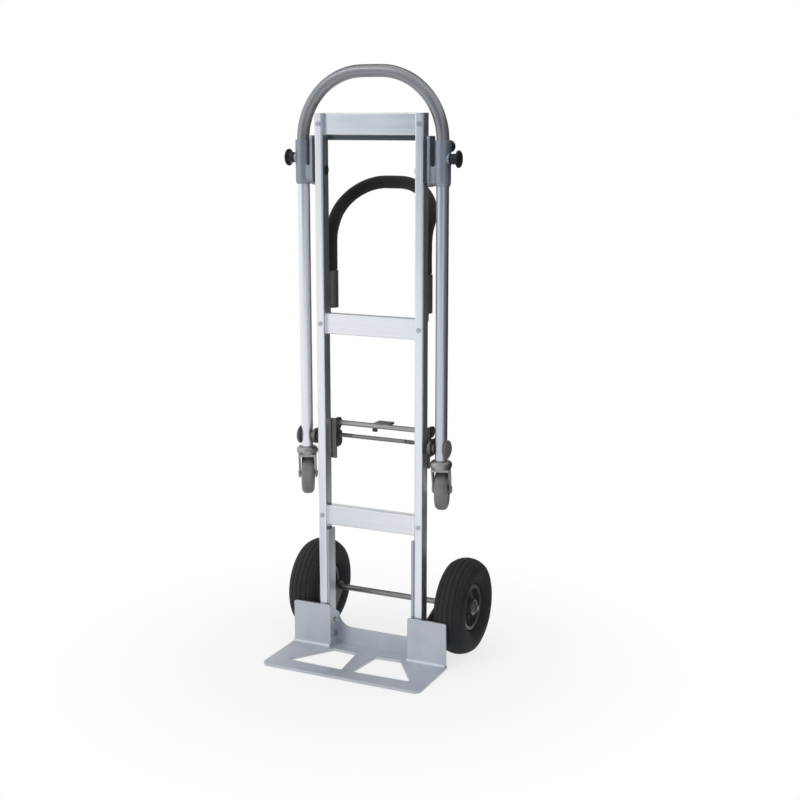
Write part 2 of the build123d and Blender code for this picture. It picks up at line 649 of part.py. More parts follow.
with BuildPart() as wheel_rim:
    with BuildSketch(WHEEL_PLANE) as rim_section:
        with Locations((0, RIM_RADIUS - RIM_WALL / 2)):
            Rectangle(2 * RIM_HALF_WIDTH, RIM_WALL)
        for side in (-1, 1):
            with Locations((side * (RIM_HALF_WIDTH - RIM_WALL / 2), RIM_RADIUS + RIM_LIP / 2)):
                Rectangle(RIM_WALL, RIM_LIP)
        with Locations((0, (HUB_RADIUS + RIM_RADIUS - RIM_WALL) / 2)):
            Rectangle(RIM_DISC, RIM_RADIUS - HUB_RADIUS)
        with Locations((0, HUB_RADIUS / 2)):
            Rectangle(2 * HUB_HALF_LENGTH, HUB_RADIUS)
        rim_inside = RIM_RADIUS - RIM_WALL
        rim_top = RIM_RADIUS + RIM_LIP
        fillet(corners(rim_section, (RIM_DISC / 2, HUB_RADIUS), (RIM_DISC / 2, rim_inside)), RIM_DISH)
        fillet(corners(rim_section, (RIM_HALF_WIDTH, rim_inside), (RIM_HALF_WIDTH, rim_top)), LIP_EDGE)
        fillet(corners(rim_section, (RIM_HALF_WIDTH - RIM_WALL, rim_top)), LIP_EDGE)
        fillet(corners(rim_section, (HUB_HALF_LENGTH, HUB_RADIUS)), HUB_EDGE)
    revolve(axis=WHEEL_AXIS)
    near = WHEEL_X - HUB_HALF_LENGTH
    far = WHEEL_X + HUB_HALF_LENGTH
    along_x(axle_point, AXLE_RADIUS + HUB_BORE_GAP, near - CUT, far + CUT, Mode.SUBTRACT)
    along_x(axle_point, BEARING_RADIUS + RUN_GAP, near - CUT, near + BEARING_WIDTH, Mode.SUBTRACT)
    along_x(axle_point, BEARING_RADIUS + RUN_GAP, far - BEARING_WIDTH, far + CUT, Mode.SUBTRACT)
keep_pair(wheel_rim.part, "wheel_rim")

with BuildPart() as wheel_bearings:
    along_x(axle_point, BEARING_RADIUS, near, near + BEARING_WIDTH)
    along_x(axle_point, BEARING_RADIUS, far - BEARING_WIDTH, far)
    along_x(axle_point, AXLE_RADIUS + RUN_GAP, near - CUT, far + CUT, Mode.SUBTRACT)
keep_pair(wheel_bearings.part, "wheel_bearings")

# Pivot plates and pins that carry the handle's castings on the outer sides of the rails
with BuildPart() as pivot_plates:
    with BuildSketch(Plane.YZ.offset(RAIL_OUT)):
        with Locations((RAIL_MID_Y, (PLATE_BOTTOM + PLATE_TOP) / 2)):
            RectangleRounded(PLATE_WIDTH, PLATE_TOP - PLATE_BOTTOM, PLATE_CORNER)
    extrude(amount=PLATE_THICK)
    along_x(pivot, PIVOT_RADIUS + SEAT_GAP, RAIL_OUT - CUT, PLATE_OUT + CUT, Mode.SUBTRACT)
    mirror(about=Plane.YZ)
keep(pivot_plates.part, "pivot_plates")

with BuildPart() as pivot_pins:
    along_x(pivot, PIVOT_HEAD_RADIUS, RAIL_IN - PIVOT_HEAD, RAIL_IN)
    along_x(pivot, PIVOT_RADIUS, RAIL_IN, CHEEK_IN + PIVOT_DEPTH - FACE_GAP)
    mirror(about=Plane.YZ)
keep(pivot_pins.part, "pivot_pins")

# Castings: a sleeve for the leg tube, a cheek on the pivot pin and a web between them
LEG_AXIS = Axis((LEG_X, HANDLE_Y, 0), (0, 0, 1))
LEG_PLANE = Plane(origin=(LEG_X, HANDLE_Y, 0), x_dir=(1, 0, 0), z_dir=(0, -1, 0))
with BuildPart() as casting:
    with BuildSketch(Plane.YZ.offset(CHEEK_IN)) as cheek:
        low_centre = CHEEK_BOTTOM + CHEEK_WIDTH / 2
        with Locations((HANDLE_Y, (low_centre + CHEEK_TOP) / 2)):
            Rectangle(CHEEK_WIDTH, CHEEK_TOP - low_centre)
        fillet(cheek.vertices().sort_by(Axis.Y)[-2:], CHEEK_CORNER)
        with Locations((HANDLE_Y, low_centre)):
            Circle(CHEEK_WIDTH / 2)
    extrude(amount=CHEEK_THICK)
    with BuildSketch(Plane.YZ.offset(CHEEK_OUT - CUT)):
        web_low = CHEEK_BOTTOM + WEB_WIDTH / 2 + WEB_INSET
        web_top = SLOT_BOTTOM + SLOT_RADIUS
        with Locations((HANDLE_Y, (web_low + web_top) / 2)):
            Rectangle(WEB_WIDTH, web_top - web_low)
        with Locations((HANDLE_Y, web_low)):
            Circle(WEB_WIDTH / 2)
    extrude(amount=LEG_X - CHEEK_OUT + CUT)
    slot_end = [(CHEEK_OUT + SLOT_RADIUS, web_top)]
    along_y(slot_end, SLOT_RADIUS, HANDLE_Y - WEB_WIDTH, HANDLE_Y + WEB_WIDTH, Mode.SUBTRACT)
    with BuildSketch(LEG_PLANE):
        with BuildLine():
            taper_start = (SLEEVE_BORE + SLEEVE_LIP, SLEEVE_BOTTOM)
            taper_end = (SLEEVE_RADIUS, SLEEVE_BOTTOM + SLEEVE_TAPER)
            Polyline(
                taper_end,
                (SLEEVE_RADIUS, SLEEVE_TOP),
                (0, SLEEVE_TOP),
                (0, SLEEVE_BOTTOM),
                taper_start,
            )
            Line(taper_start, taper_end)
        make_face()
    revolve(axis=LEG_AXIS)
    along_x([(HANDLE_Y, SIDE_KNOB_Z)], BOSS_RADIUS, LEG_X + SLEEVE_BORE / 2, LEG_X + BOSS_REACH)
    along_y([(LEG_X, REAR_KNOB_Z)], BOSS_RADIUS, HANDLE_Y + SLEEVE_BORE / 2, HANDLE_Y + BOSS_REACH)
    along_z([(LEG_X, HANDLE_Y)], SLEEVE_BORE, CHEEK_BOTTOM - CUT, CHEEK_TOP + CUT, Mode.SUBTRACT)
    hole = BARREL_RADIUS + SEAT_GAP / 2
    along_x([(HANDLE_Y, SIDE_KNOB_Z)], hole, LEG_X, LEG_X + BOSS_REACH + CUT, Mode.SUBTRACT)
    along_y([(LEG_X, REAR_KNOB_Z)], hole, HANDLE_Y, HANDLE_Y + BOSS_REACH + CUT, Mode.SUBTRACT)
    along_x(pivot, PIVOT_RADIUS + RUN_GAP, CHEEK_IN - CUT, CHEEK_IN + PIVOT_DEPTH, Mode.SUBTRACT)
keep_pair(casting.part, "pivot_casting")

with BuildPart() as bushes:
    legs = [(LEG_X, HANDLE_Y)]
    outer = SLEEVE_BORE - SEAT_GAP / 2
    along_z(legs, outer, SLEEVE_BOTTOM, SLEEVE_BOTTOM + LOWER_BUSH_LENGTH)
    along_z(legs, outer, SLEEVE_TOP - UPPER_BUSH_LENGTH, SLEEVE_TOP)
    along_z(legs, TUBE_RADIUS + RUN_GAP, SLEEVE_BOTTOM - CUT, SLEEVE_TOP + CUT, Mode.SUBTRACT)
    mirror(about=Plane.YZ)
keep(bushes.part, "sleeve_bushes")

# Pull knobs, drawn about their own axis with z measured outward from the tube's axis
PIN_TIP = TUBE_RADIUS + PIN_TIP_GAP
COLLAR_START = BARREL_FLOOR + KNOB_TRAVEL + SEAT_GAP
SPRING_START = COLLAR_START + PIN_COLLAR + SPRING_END_GAP
CAP_START = SPRING_START + KNOB_SPRING_LENGTH + SPRING_END_GAP
BARREL_END = CAP_START + BARREL_CAP
NECK_START = BOSS_REACH + KNOB_TRAVEL + FACE_GAP
HEAD_START = NECK_START + KNOB_NECK
KNOB_FLOOR = BARREL_END + KNOB_TRAVEL + KNOB_ROOF
SIDE_PLACE = Location(Plane(origin=(LEG_X, HANDLE_Y, SIDE_KNOB_Z), x_dir=(0, 1, 0), z_dir=(1, 0, 0)))
REAR_PLACE = Location(Plane(origin=(LEG_X, HANDLE_Y, REAR_KNOB_Z), x_dir=(-1, 0, 0), z_dir=(0, 1, 0)))


def plunger(head_radius, head_length):
    """A knob moulded on its locking pin."""
    with BuildPart() as piece:
        with BuildSketch(Plane.XZ):
            with BuildLine():
                top = max(HEAD_START + head_length, KNOB_FLOOR + KNOB_EDGE)
                rim = (head_radius, top - KNOB_EDGE)
                low_rim = (head_radius, HEAD_START + KNOB_EDGE / 2)
                waist = (KNOB_NECK_RADIUS, HEAD_START - KNOB_FLARE)
                crown = (head_radius - KNOB_EDGE, top)
                Polyline(
                    crown,
                    (0, top),
                    (0, PIN_TIP),
                    (PIN_RADIUS, PIN_TIP),
                    (PIN_RADIUS, COLLAR_START),
                    (PIN_COLLAR_RADIUS, COLLAR_START),
                    (PIN_COLLAR_RADIUS, COLLAR_START + PIN_COLLAR),
                    (PIN_RADIUS, COLLAR_START + PIN_COLLAR),
                    (PIN_RADIUS, KNOB_FLOOR),
                    (KNOB_BORE, KNOB_FLOOR),
                    (KNOB_BORE, NECK_START),
                    (KNOB_NECK_RADIUS, NECK_START),
                    waist,
                )
                SagittaArc(waist, low_rim, KNOB_HOLLOW)
                Line(low_rim, rim)
                RadiusArc(rim, crown, -KNOB_EDGE)
            make_face()
        revolve(axis=Axis.Z)
    return piece.part


keep_pair(plunger(SIDE_KNOB_RADIUS, SIDE_KNOB_LENGTH).moved(SIDE_PLACE), "side_plunger")
keep_pair(plunger(REAR_KNOB_RADIUS, REAR_KNOB_LENGTH).moved(REAR_PLACE), "rear_plunger")

with BuildPart() as barrel:
    along_z([(0, 0)], BARREL_RADIUS, BARREL_FLOOR, BARREL_END)
    along_z([(0, 0)], BARREL_CHAMBER, BARREL_FLOOR - CUT, CAP_START, Mode.SUBTRACT)
    along_z([(0, 0)], PIN_RADIUS + RUN_GAP, BARREL_FLOOR, BARREL_END + CUT, Mode.SUBTRACT)
with BuildPart() as barrels:
    add(barrel.part.moved(SIDE_PLACE))
    add(barrel.part.moved(REAR_PLACE))
    mirror(about=Plane.YZ)
keep(barrels.part, "plunger_barrels")


# Coil springs: a wire along a helix, each quarter turn drawn as two tangent arcs
def coil_points(radius, start, length, turns):
    """Points and unit directions at each quarter turn of a helix about Z."""
    rise = length / turns / (2 * 3.141592653589793)
    steepness = sqrt(radius ** 2 + rise ** 2)
    points = []
    for n in range(4 * turns + 1):
        angle = radians(90 * n)
        at = Vector(radius * cos(angle), radius * sin(angle), start + length * n / (4 * turns))
        way = Vector(-radius * sin(angle), radius * cos(angle), rise) * (1 / steepness)
        points.append((at, way))
    return points


def coil(radius, wire, start, length, turns):
    """A coil spring about Z with its least gap from turn to turn."""
    points = coil_points(radius, start + wire, length - 2 * wire, turns)
    with BuildPart() as piece:
        with BuildLine() as path:
            for (a, way_a), (b, way_b) in zip(points, points[1:]):
                span = b - a
                lead = 2 * (1 - way_a.dot(way_b))
                along = span.dot(way_a + way_b)
                reach = (sqrt(along ** 2 + lead * span.dot(span)) - along) / lead
                joint = (a + way_a * reach + b - way_b * reach) * 0.5
                first = TangentArc(a, joint, tangent=way_a)
                TangentArc(joint, b, tangent=first % 1)
        with BuildSketch(Plane(origin=points[0][0], z_dir=points[0][1])):
            Circle(wire)
        sweep(path=path.wires()[0])
        samples = [path.wires()[0] @ (n / (24 * turns)) for n in range(24 * turns + 1)]
    apart = [
        (p - q).length - 2 * wire
        for n, p in enumerate(samples)
        for q in samples[n + 12:]
    ]
    return piece.part, min(apart)


knob_spring, knob_spring_gap = coil(
    PIN_RADIUS + KNOB_SPRING_WIRE + KNOB_SPRING_PLAY,
    KNOB_SPRING_WIRE,
    SPRING_START,
    KNOB_SPRING_LENGTH,
    KNOB_SPRING_TURNS,
)
print("least gap between knob spring turns", round(knob_spring_gap, 3))
with BuildPart() as knob_springs:
    add(knob_spring.moved(SIDE_PLACE))
    add(knob_spring.moved(REAR_PLACE))
    mirror(about=Plane.YZ)
keep(knob_springs.part, "plunger_springs")

# Loop handle, leg tubes and the spigots that join them
with BuildPart() as loop_handle:
    with BuildLine() as loop_path:
        turn = LOOP_BEND * sqrt(0.5)
        left = Line((-LEG_X, HANDLE_Y, TUBE_JOINT), (-LEG_X, HANDLE_Y, LOOP_BEND_Z))
        ThreePointArc(
            (-LEG_X, HANDLE_Y, LOOP_BEND_Z),
            (-LOOP_FLAT - turn, HANDLE_Y, LOOP_BEND_Z + turn),
            (-LOOP_FLAT, HANDLE_Y, LOOP_CENTRE_TOP),
        )
        Line((-LOOP_FLAT, HANDLE_Y, LOOP_CENTRE_TOP), (LOOP_FLAT, HANDLE_Y, LOOP_CENTRE_TOP))
        ThreePointArc(
            (LOOP_FLAT, HANDLE_Y, LOOP_CENTRE_TOP),
            (LOOP_FLAT + turn, HANDLE_Y, LOOP_BEND_Z + turn),
            (LEG_X, HANDLE_Y, LOOP_BEND_Z),
        )
        Line((LEG_X, HANDLE_Y, LOOP_BEND_Z), (LEG_X, HANDLE_Y, TUBE_JOINT))
    with BuildSketch(Plane.XY.offset(TUBE_JOINT)):
        with Locations((-LEG_X, HANDLE_Y)):
            Circle(TUBE_RADIUS)
            Circle(TUBE_BORE, mode=Mode.SUBTRACT)
    sweep(path=loop_path.wires()[0])
    for side in (-1, 1):
        ends = sorted((side * (LEG_X + SPIGOT_RADIUS / 2), side * (LEG_X + TUBE_RADIUS + CUT)))
        along_x([(HANDLE_Y, SIDE_KNOB_Z)], LOCK_HOLE, *ends, Mode.SUBTRACT)
    loop_legs = [(-LEG_X, REAR_KNOB_Z), (LEG_X, REAR_KNOB_Z)]
    along_y(loop_legs, LOCK_HOLE, HANDLE_Y, HANDLE_Y + TUBE_RADIUS + CUT, Mode.SUBTRACT)
keep(loop_handle.part, "loop_handle")

with BuildPart() as leg_tube:
    along_z(legs, TUBE_RADIUS, LEG_BOTTOM, TUBE_JOINT)
    along_z(legs, TUBE_BORE, LEG_BOTTOM - CUT, TUBE_JOINT + CUT, Mode.SUBTRACT)
    start = LEG_X - TUBE_RADIUS - CUT
    end = LEG_X + TUBE_RADIUS + CUT
    along_x([(HANDLE_Y, STUD_Z)], STUD_RADIUS + SEAT_GAP, start, end, Mode.SUBTRACT)
    along_x([(HANDLE_Y, SIDE_LOCK_HEIGHTS[1])], LOCK_HOLE, LEG_X, end, Mode.SUBTRACT)
    tube_back = HANDLE_Y + TUBE_RADIUS + CUT
    along_y([(LEG_X, REAR_LOCK_HEIGHTS[1])], LOCK_HOLE, HANDLE_Y, tube_back, Mode.SUBTRACT)
keep_pair(leg_tube.part, "leg_tube")

with BuildPart() as spigots:
    along_z(legs, SPIGOT_RADIUS, TUBE_JOINT - SPIGOT_LENGTH / 2, TUBE_JOINT + SPIGOT_LENGTH / 2)
    hole_start = LEG_X + SPIGOT_RADIUS / 2
    along_x([(HANDLE_Y, SIDE_KNOB_Z)], LOCK_HOLE, hole_start, end, Mode.SUBTRACT)
    mirror(about=Plane.YZ)
keep(spigots.part, "leg_spigots")

# Lugs and studs at the feet of the tubes
with BuildPart() as lugs:
    with BuildSketch(Plane.YZ.offset(LUG_X)):
        with Locations((HANDLE_Y, STUD_Z), (LATCH_Y, LATCH_PIN_Z)):
            Circle(LUG_RADIUS)
        make_hull()
    extrude(amount=LUG_THICK)
    stud_point = [(HANDLE_Y, STUD_Z)]
    along_x(stud_point, LUG_BOSS_RADIUS, LUG_X, LEG_X - TUBE_RADIUS - SEAT_GAP)
    along_x(stud_point, STUD_RADIUS + SEAT_GAP, LUG_X - CUT, LEG_X, Mode.SUBTRACT)
    pin_point = [(LATCH_Y, LATCH_PIN_Z)]
    along_x(pin_point, LATCH_PIN_RADIUS + SEAT_GAP, LUG_X - CUT, LUG_X + LUG_THICK + CUT, Mode.SUBTRACT)
    mirror(about=Plane.YZ)
keep(lugs.part, "leg_lugs")

with BuildPart() as studs:
    cap_start = LEG_X + TUBE_RADIUS + SEAT_GAP
    along_x(stud_point, STUD_HEAD_RADIUS, LUG_X - STUD_HEAD, LUG_X)
    along_x(stud_point, STUD_RADIUS, LUG_X, cap_start)
    with BuildSketch(Plane(origin=(0, HANDLE_Y, STUD_Z), x_dir=(1, 0, 0), z_dir=(0, -1, 0))):
        with BuildLine():
            cap_edge = (cap_start + STUD_CAP_EDGE, STUD_CAP_RADIUS)
            cap_top = (cap_start + STUD_CAP, 0)
            Polyline(cap_top, (cap_start, 0), (cap_start, STUD_CAP_RADIUS), cap_edge)
            dome = STUD_CAP - STUD_CAP_EDGE
            RadiusArc(cap_edge, cap_top, (STUD_CAP_RADIUS ** 2 + dome ** 2) / (2 * dome))
        make_face()
    revolve(axis=Axis((0, HANDLE_Y, STUD_Z), (1, 0, 0)))
    mirror(about=Plane.YZ)
keep(studs.part, "leg_studs")

# Casters, drawn about the swivel axis with the wheel trailing along +Y, then turned and placed
with BuildPart() as caster_head:
    with BuildSketch(Plane.XZ):
        with BuildLine():
            stem = TUBE_BORE - SEAT_GAP
            rim_top = CROWN_BOTTOM - FACE_GAP
            neck_top = (HEAD_NECK_RADIUS, LEG_BOTTOM)
            rim_edge = (CASTER_HEAD_RADIUS, CASTER_HEAD_BOTTOM + HEAD_RIM)
            Polyline(
                neck_top,
                (stem, LEG_BOTTOM),
                (stem, LEG_BOTTOM + STEM_LENGTH),
                (0, LEG_BOTTOM + STEM_LENGTH),
                (0, rim_top - KINGPIN_RIM),
                (KINGPIN_RIM_RADIUS, rim_top - KINGPIN_RIM),
                (KINGPIN_RIM_RADIUS, rim_top),
                (KINGPIN_RADIUS, rim_top),
                (KINGPIN_RADIUS, CASTER_HEAD_BOTTOM),
                (CASTER_HEAD_RADIUS - HEAD_CHAMFER, CASTER_HEAD_BOTTOM),
                rim_edge,
            )
            SagittaArc(rim_edge, neck_top, -HEAD_BULGE)
        make_face()
    revolve(axis=Axis.Z)
with BuildPart() as caster_heads:
    add(caster_head.part.moved(Location((LEG_X, HANDLE_Y, 0))))
    along_x(stud_point, STUD_RADIUS + SEAT_GAP, LEG_X - TUBE_RADIUS, LEG_X + TUBE_RADIUS, Mode.SUBTRACT)
    mirror(about=Plane.YZ)
keep(caster_heads.part, "caster_heads")

eye = [(CASTER_TRAIL, CASTER_AXLE_Z)]
LEG_OUT = FORK_GAP / 2 + FORK_THICK
with BuildPart() as fork:
    with BuildSketch(Plane.XY.offset(CROWN_BOTTOM)):
        with Locations((0, (FORK_CROWN_BACK - FORK_CROWN_FRONT) / 2)):
            RectangleRounded(2 * LEG_OUT, FORK_CROWN_FRONT + FORK_CROWN_BACK, FORK_THICK)
    extrude(amount=FORK_CROWN)
    for start in (-LEG_OUT, FORK_GAP / 2):
        with BuildSketch(Plane.YZ.offset(start)):
            with BuildLine():
                front = (-FORK_CROWN_FRONT + FORK_THICK, CROWN_BOTTOM + FORK_CROWN / 2)
                rear = (FORK_CROWN_BACK - FORK_THICK, CROWN_BOTTOM + FORK_CROWN / 2)
                low = (CASTER_TRAIL - FORK_EYE_RADIUS * 0.8, CASTER_AXLE_Z - FORK_EYE_RADIUS * 0.6)
                high = (CASTER_TRAIL + FORK_EYE_RADIUS, CASTER_AXLE_Z)
                Polyline(front, low, high, rear, close=True)
            make_face()
            with Locations((CASTER_TRAIL, CASTER_AXLE_Z)):
                Circle(FORK_EYE_RADIUS)
        extrude(amount=FORK_THICK)
    along_z([(0, 0)], KINGPIN_RADIUS + RUN_GAP, CROWN_BOTTOM - CUT, CROWN_TOP + CUT, Mode.SUBTRACT)
    along_x(eye, CASTER_AXLE_RADIUS + SEAT_GAP, -LEG_OUT - CUT, LEG_OUT + CUT, Mode.SUBTRACT)

with BuildPart() as caster_axle:
    along_x(eye, CASTER_AXLE_RADIUS, -LEG_OUT, LEG_OUT)
    along_x(eye, AXLE_HEAD_RADIUS, -LEG_OUT - AXLE_HEAD, -LEG_OUT)
    along_x(eye, AXLE_HEAD_RADIUS, LEG_OUT, LEG_OUT + AXLE_HEAD)

CASTER_PLANE = Plane(origin=(0, CASTER_TRAIL, CASTER_AXLE_Z), x_dir=(1, 0, 0), z_dir=(0, -1, 0))
CASTER_AXIS = Axis((0, CASTER_TRAIL, CASTER_AXLE_Z), (1, 0, 0))
with BuildPart() as caster_core:
    with BuildSketch(CASTER_PLANE):
        with Locations((0, CASTER_CORE_RADIUS / 2)):
            Rectangle(CASTER_CORE_WIDTH, CASTER_CORE_RADIUS)
        with Locations((0, CASTER_HUB_RADIUS / 2)):
            Rectangle(CASTER_HUB_WIDTH, CASTER_HUB_RADIUS)
    revolve(axis=CASTER_AXIS)
    along_x(eye, CASTER_AXLE_RADIUS + RUN_GAP, -CASTER_WIDTH, CASTER_WIDTH, Mode.SUBTRACT)

with BuildPart() as caster_tyre:
    with BuildSketch(CASTER_PLANE) as tyre_section:
        inner = CASTER_CORE_RADIUS + SEAT_GAP
        with Locations((0, (inner + CASTER_RADIUS) / 2)):
            Rectangle(CASTER_WIDTH, CASTER_RADIUS - inner)
        fillet(tyre_section.vertices().sort_by(Axis.Y)[-2:], CASTER_EDGE)
    revolve(axis=CASTER_AXIS)

for side_name, x, heading in (
    ("left", -LEG_X, LEFT_CASTER_HEADING),
    ("right", LEG_X, RIGHT_CASTER_HEADING),
):
    place = Location((x, HANDLE_Y, 0), (0, 0, heading))
    keep(fork.part.moved(place), f"{side_name}_caster_fork")
    keep(caster_axle.part.moved(place), f"{side_name}_caster_axle")
    keep(caster_core.part.moved(place), f"{side_name}_caster_core")
    keep(caster_tyre.part.moved(place), f"{side_name}_caster_tyre")

# Latch brackets: a foot on the back of the rail and two lobed cheeks
with BuildPart() as latch_bracket:
    top = LATCH_SHAFT_Z + LATCH_LOBE
    heel = LATCH_TAIL_Z - LATCH_LOBE
    foot = (RAIL_DEPTH, RAIL_DEPTH + LATCH_FOOT_THICK)
    block((LATCH_INNER_X, LATCH_OUTER_X), foot, (LATCH_PIN_Z - LATCH_FOOT_DROP, top))
    for start in (LATCH_INNER_X, LATCH_OUTER_X - LATCH_CHEEK_THICK):
        with BuildSketch(Plane.YZ.offset(start)):
            for z in (LATCH_SHAFT_Z, LATCH_PIN_Z, LATCH_TAIL_Z):
                with Locations((LATCH_Y, z)):
                    Circle(LATCH_LOBE)
                with Locations(((RAIL_DEPTH + LATCH_Y) / 2, z)):
                    Rectangle(LATCH_Y - RAIL_DEPTH, 2 * LATCH_LOBE)
            waist_y = LATCH_Y - LATCH_WAIST
            with Locations(((RAIL_DEPTH + waist_y) / 2, (heel + top) / 2)):
                Rectangle(waist_y - RAIL_DEPTH, top - heel)
        extrude(amount=LATCH_CHEEK_THICK)
    shaft_point = [(LATCH_Y, LATCH_SHAFT_Z)]
    ends = (LATCH_INNER_X - CUT, LATCH_OUTER_X + CUT)
    along_x(shaft_point, LATCH_SHAFT_RADIUS + RUN_GAP, *ends, Mode.SUBTRACT)
    along_x(pin_point, LATCH_PIN_RADIUS + RUN_GAP, *ends, Mode.SUBTRACT)
    along_y(LATCH_BOLTS, SMALL_BOLT_RADIUS + SEAT_GAP, RAIL_DEPTH - CUT, LATCH_Y, Mode.SUBTRACT)
keep_pair(latch_bracket.part, "latch_bracket")

with BuildPart() as latch_bolts:
    head = RAIL_DEPTH + LATCH_FOOT_THICK
    along_y(LATCH_BOLTS, SMALL_BOLT_RADIUS, RAIL_DEPTH - 2 * RAIL_WALL, head)
    along_y(LATCH_BOLTS, SMALL_HEAD_RADIUS, head, head + SMALL_HEAD)
    mirror(about=Plane.YZ)
keep(latch_bolts.part, "latch_bracket_bolts")

# Latch shaft with a wedge cam inside each bracket; at rest the cams stand clear of the pins
CAM_START = LATCH_INNER_X + LATCH_CHEEK_THICK + FACE_GAP
CAM_TOP = LATCH_SHAFT_Z - CAM_HUB_RADIUS / 2
CAM_COLLAR_X = CAM_START + CAM_COLLAR_GAP
CAM_BOTTOM = LATCH_PIN_Z + CAM_CLEAR
with BuildPart() as latch_shaft:
    with BuildSketch(Plane.XY.offset(CAM_BOTTOM)):
        with BuildLine():
            Polyline(
                (CAM_START, LATCH_Y - CAM_WIDTH / 2),
                (CAM_START, LATCH_Y + CAM_WIDTH / 2),
                (CAM_START + CAM_THICK, LATCH_Y + CAM_WIDTH / 2),
                (CAM_START + CAM_THIN, LATCH_Y - CAM_WIDTH / 2),
                close=True,
            )
        make_face()
    extrude(amount=CAM_TOP - CAM_BOTTOM)
    along_x(shaft_point, CAM_HUB_RADIUS, CAM_START, CAM_START + CAM_THICK)
    mirror(about=Plane.YZ)
    along_x(shaft_point, LATCH_SHAFT_RADIUS, -LATCH_OUTER_X, LATCH_OUTER_X)
shaft_axis = Axis((0, LATCH_Y, LATCH_SHAFT_Z), (1, 0, 0))
keep(latch_shaft.part.rotate(shaft_axis, CAM_ANGLE), "latch_shaft")

with BuildPart() as latch_pedal:
    half = PEDAL_WIDTH / 2
    pad_top = LATCH_SHAFT_Z + PEDAL_RISE
    block((-half, half), (LATCH_Y, LATCH_Y + PEDAL_LENGTH), (pad_top - PEDAL_THICK, pad_top))
    tab_front = LATCH_Y + LATCH_SHAFT_RADIUS + SEAT_GAP
    block(
        (-half, PEDAL_TAB_WIDTH - half),
        (tab_front, tab_front + PEDAL_TAB_THICK),
        (LATCH_SHAFT_Z - PEDAL_TAB_BELOW, pad_top),
    )
    along_x(shaft_point, LATCH_SHAFT_RADIUS + SEAT_GAP, -half - CUT, half + CUT, Mode.SUBTRACT)
keep(latch_pedal.part, "latch_pedal")

with BuildPart() as latch_pin:
    along_x(pin_point, LATCH_ROD_RADIUS, FACE_GAP / 2, LATCH_SHOULDER_X)
    along_x(pin_point, LATCH_PIN_RADIUS, LATCH_SHOULDER_X, LATCH_PIN_TIP)
    along_x(pin_point, CAM_COLLAR_RADIUS, CAM_COLLAR_X, CAM_COLLAR_X + CAM_COLLAR)
keep_pair(latch_pin.part, "latch_pin")

latch_spring, latch_spring_gap = coil(
    LATCH_PIN_RADIUS + SEAT_GAP + SPRING_WIRE,
    SPRING_WIRE,
    LATCH_SHOULDER_X + SEAT_GAP,
    LATCH_INNER_X - LATCH_SHOULDER_X - 2 * SEAT_GAP,
    SPRING_TURNS,
)
print("least gap between latch spring turns", round(latch_spring_gap, 3))
SPRING_PLACE = Location(Plane(origin=(0, LATCH_Y, LATCH_PIN_Z), x_dir=(0, 1, 0), z_dir=(1, 0, 0)))
keep_pair(latch_spring.moved(SPRING_PLACE), "latch_spring")

# Rear loop handle: upright legs that bend back into a leaning arch
lean = radians(REAR_LEAN)
bend_y = REAR_LEG_Y + REAR_BEND_RADIUS * (1 - cos(lean))
bend_z = REAR_BEND_Z + REAR_BEND_RADIUS * sin(lean)
mid_y = REAR_LEG_Y + REAR_BEND_RADIUS * (1 - cos(lean / 2))
mid_z = REAR_BEND_Z + REAR_BEND_RADIUS * sin(lean / 2)
arch_flat = REAR_LEG_X - REAR_ARCH_RADIUS


def on_arch(x, rise):
    """A point of the leaning arch, at a height along its slope above the bends."""
    return (x, bend_y + rise * sin(lean), bend_z + rise * cos(lean))


def rear_path(start):
    """The handle's centre line from one leg's foot to the other's."""
    turn = REAR_ARCH_RADIUS * sqrt(0.5)
    crown = REAR_ARCH_RISE + REAR_ARCH_RADIUS
    with BuildLine() as line:
        Line((-REAR_LEG_X, REAR_LEG_Y, start), (-REAR_LEG_X, REAR_LEG_Y, REAR_BEND_Z))
        ThreePointArc(
            (-REAR_LEG_X, REAR_LEG_Y, REAR_BEND_Z),
            (-REAR_LEG_X, mid_y, mid_z),
            (-REAR_LEG_X, bend_y, bend_z),
        )
        Line((-REAR_LEG_X, bend_y, bend_z), on_arch(-REAR_LEG_X, REAR_ARCH_RISE))
        ThreePointArc(
            on_arch(-REAR_LEG_X, REAR_ARCH_RISE),
            on_arch(-arch_flat - turn, REAR_ARCH_RISE + turn),
            on_arch(-arch_flat, crown),
        )
        Line(on_arch(-arch_flat, crown), on_arch(arch_flat, crown))
        ThreePointArc(
            on_arch(arch_flat, crown),
            on_arch(arch_flat + turn, REAR_ARCH_RISE + turn),
            on_arch(REAR_LEG_X, REAR_ARCH_RISE),
        )
        Line(on_arch(REAR_LEG_X, REAR_ARCH_RISE), (REAR_LEG_X, bend_y, bend_z))
        ThreePointArc(
            (REAR_LEG_X, bend_y, bend_z),
            (REAR_LEG_X, mid_y, mid_z),
            (REAR_LEG_X, REAR_LEG_Y, REAR_BEND_Z),
        )
        Line((REAR_LEG_X, REAR_LEG_Y, REAR_BEND_Z), (REAR_LEG_X, REAR_LEG_Y, start))
    return line.wires()[0]


def rear_tube(start, outer, inner):
    with BuildPart() as piece:
        with BuildSketch(Plane.XY.offset(start)):
            with Locations((-REAR_LEG_X, REAR_LEG_Y)):
                Circle(outer)
                Circle(inner, mode=Mode.SUBTRACT)
        sweep(path=rear_path(start))
        both = SOCKET_BOLTS + [(-x, z) for x, z in SOCKET_BOLTS]
        holes = (REAR_LEG_Y - outer - CUT, REAR_LEG_Y + outer + CUT)
        if start < SOCKET_TOP:
            along_y(both, SMALL_BOLT_RADIUS + SEAT_GAP, *holes, Mode.SUBTRACT)
    return piece.part


